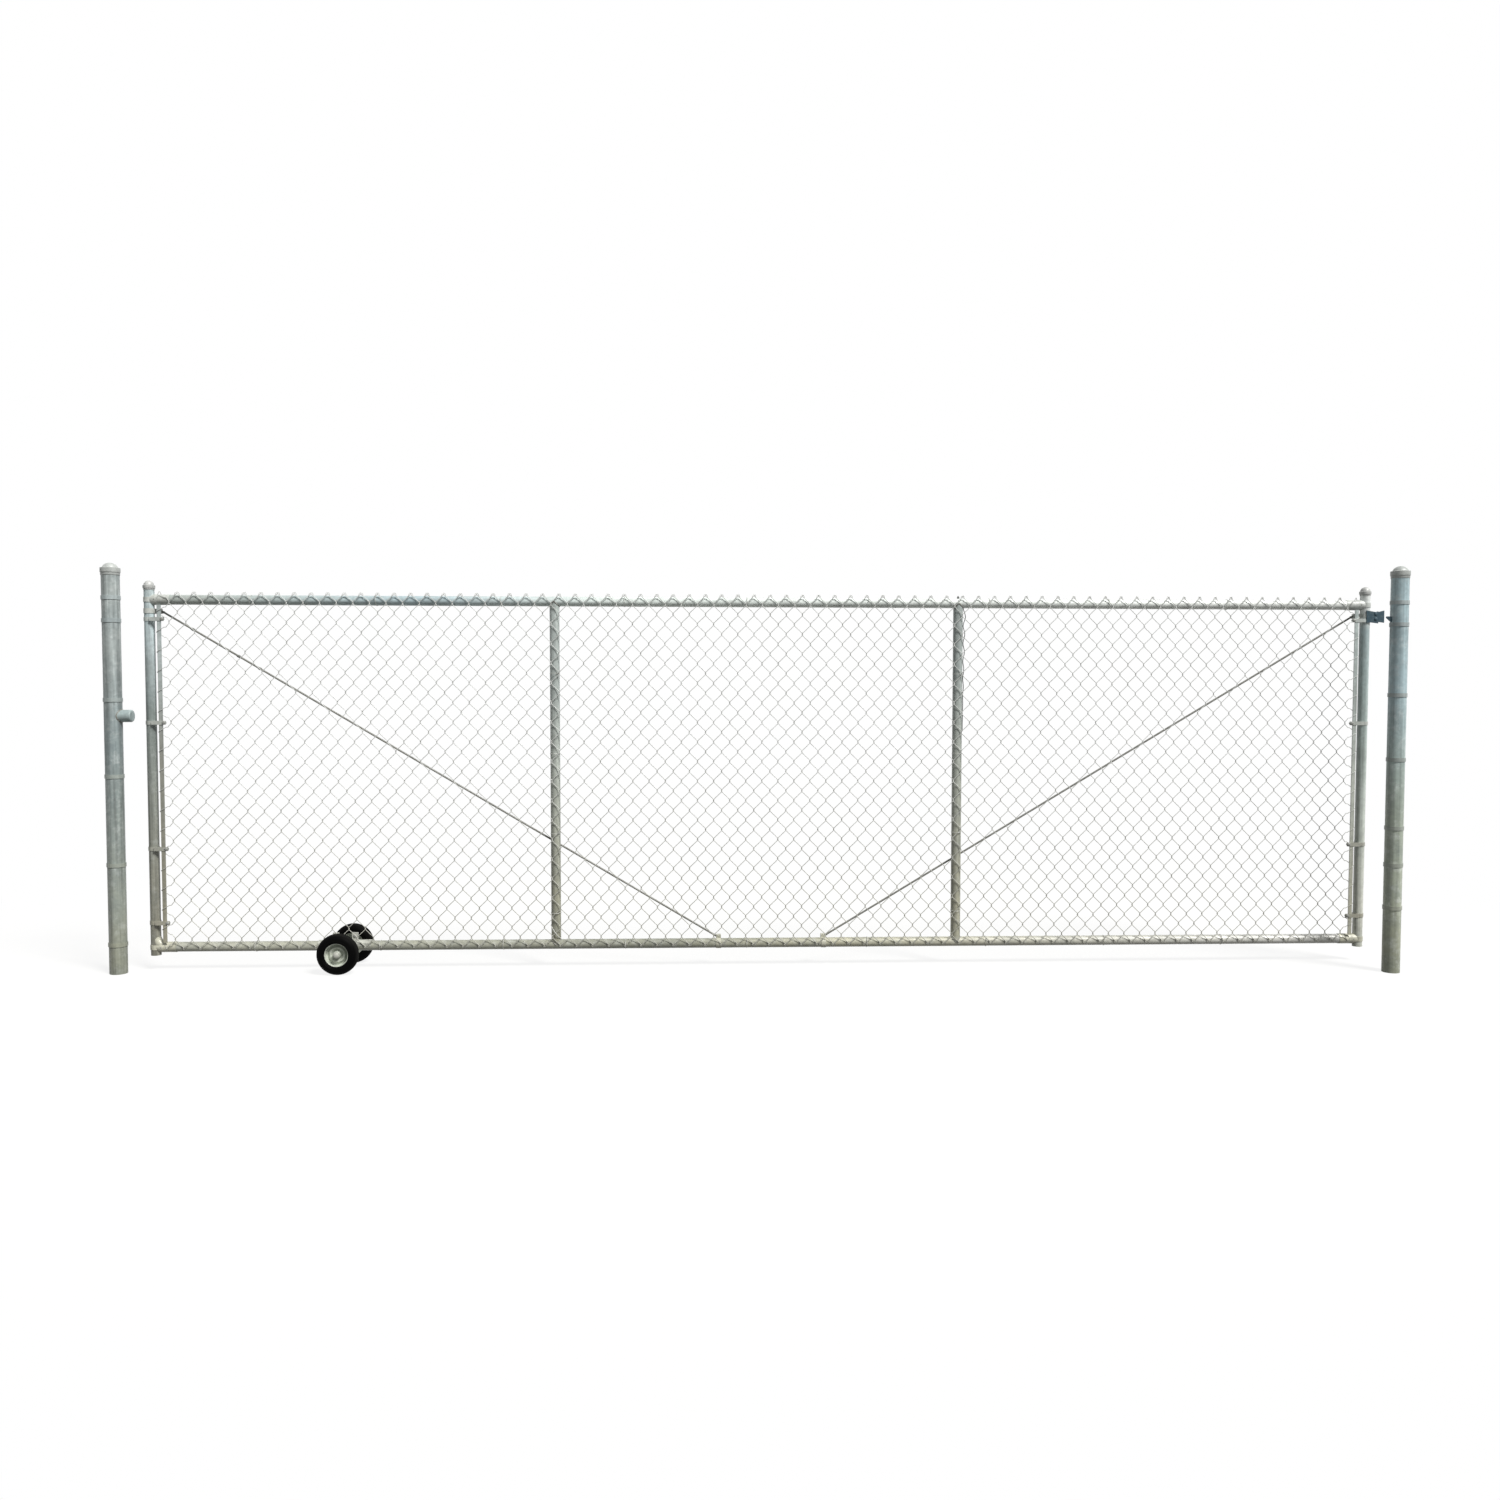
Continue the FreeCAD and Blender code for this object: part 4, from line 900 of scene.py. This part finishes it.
# Floor, light and view: a pale floor that fades to white, one sun-like key from high on the right, a soft
# sky, and a camera across the drive at shoulder height. The floor throws back as little light as asphalt.
FLOOR_PALE = (240, 240, 237)
FLOOR_LIFT = 0.86
FLOOR_BOUNCE = (92, 91, 87)
FLOOR_RADIUS = 40.0
FADE_LONG = 5.0
FADE_DEEP = 3.5
FADE_START = 0.6
FADE_END = 1.15
KEY_STRENGTH = 4.3
KEY_ANGLE = 0.3
KEY_FROM = Vector((0.50, -0.50, 0.86))
KEY_TINT = (1.0, 0.985, 0.96)
SKY_STRENGTH = 0.22
SKY_TINT = (0.95, 0.98, 1.0, 1)
CAMERA_PLACE = Vector((2.84925, -5.961, 1.3581))
CAMERA_YAW = 0.0419
CAMERA_PITCH = 0.0441
CAMERA_ROLL = 0.0014
LENS = 28.8
SENSOR = 36.0
floor_mesh = bpy.data.meshes.new("floor")
middle = (cad_box[0] + cad_box[1]) / 2
edge = np.stack([middle.x + FLOOR_RADIUS * np.cos(turns), FLOOR_RADIUS * np.sin(turns), 0 * turns], 1)
floor_mesh.from_pydata(edge.tolist(), [], [list(range(len(turns)))])
floor = bpy.data.objects.new("floor", floor_mesh)
bpy.context.scene.collection.objects.link(floor)


def seen_rays(tree):
    """The light path, and one where a ray comes from the camera, a mirror-like surface or through glass."""
    ray = add_node(tree, "LightPath")
    seen = ray.outputs["Is Camera Ray"]
    for kind in ("Is Glossy Ray", "Is Transmission Ray"):
        seen = add_node(tree, "Math", {"operation": "ADD", "use_clamp": True}, i0=seen, i1=ray.outputs[kind])
        seen = seen.outputs[0]
    return ray, seen


floor_finish, tree, shader, place = new_finish("pale_floor", Roughness=0.9, Specular_IOR_Level=0.1)
centred = add_node(tree, "Mapping", Vector=place, Location=(-middle.x / FADE_LONG, 0, 0),
                   Scale=(1 / FADE_LONG, 1 / FADE_DEEP, 1))
reach = add_node(tree, "VectorMath", {"operation": "LENGTH"}, i0=centred.outputs[0]).outputs["Value"]
far = add_node(tree, "MapRange", {"interpolation_type": "SMOOTHSTEP"}, Value=reach, From_Min=FADE_START,
               From_Max=FADE_END, To_Min=FLOOR_LIFT, To_Max=1.0)
ray, seen = seen_rays(tree)
tint = blend_colour(tree, ray.outputs["Is Diffuse Ray"], linear(FLOOR_PALE), linear(FLOOR_BOUNCE))
tree.links.new(tint, shader.inputs["Base Color"])
share = add_node(tree, "Math", {"operation": "MULTIPLY"}, i0=seen, i1=far.outputs[0])
white = add_node(tree, "Emission", Color=(1, 1, 1, 1), Strength=1.0)
blend = add_node(tree, "MixShader", i0=share.outputs[0], i1=shader.outputs[0], i2=white.outputs[0])
tree.links.new(blend.outputs[0], tree.nodes["Material Output"].inputs["Surface"])
floor_mesh.materials.append(floor_finish)

world = bpy.data.worlds.new("soft_sky")
world.use_nodes = True
bpy.context.scene.world = world
tree = world.node_tree
sky = tree.nodes["Background"]
sky.inputs["Color"].default_value = SKY_TINT
sky.inputs["Strength"].default_value = SKY_STRENGTH
backdrop = add_node(tree, "Background", Color=(1, 1, 1, 1), Strength=1.0)
blend = add_node(tree, "MixShader", i0=seen_rays(tree)[1], i1=sky.outputs[0], i2=backdrop.outputs[0])
tree.links.new(blend.outputs[0], tree.nodes["World Output"].inputs["Surface"])

key = bpy.data.lights.new("key", "SUN")
key.energy = KEY_STRENGTH
key.angle = KEY_ANGLE
key.color = KEY_TINT
key_lamp = bpy.data.objects.new("key", key)
key_lamp.rotation_euler = KEY_FROM.to_track_quat("Z", "Y").to_euler()
bpy.context.scene.collection.objects.link(key_lamp)

forward = Vector((
    math.sin(CAMERA_YAW) * math.cos(CAMERA_PITCH),
    math.cos(CAMERA_YAW) * math.cos(CAMERA_PITCH),
    -math.sin(CAMERA_PITCH),
))
level = Vector((math.cos(CAMERA_YAW), -math.sin(CAMERA_YAW), 0))
upward = level.cross(forward)
rolled = level * math.cos(CAMERA_ROLL) + upward * math.sin(CAMERA_ROLL)
upward = rolled.cross(forward)
lens = bpy.data.cameras.new("view")
lens.lens = LENS
lens.sensor_width = SENSOR
camera = bpy.data.objects.new("view", lens)
turn = Matrix((rolled, upward, -forward)).transposed().to_4x4()
camera.matrix_world = Matrix.Translation(CAMERA_PLACE) @ turn
bpy.context.scene.collection.objects.link(camera)
bpy.context.scene.camera = camera
bpy.context.scene.view_settings.view_transform = "Standard"
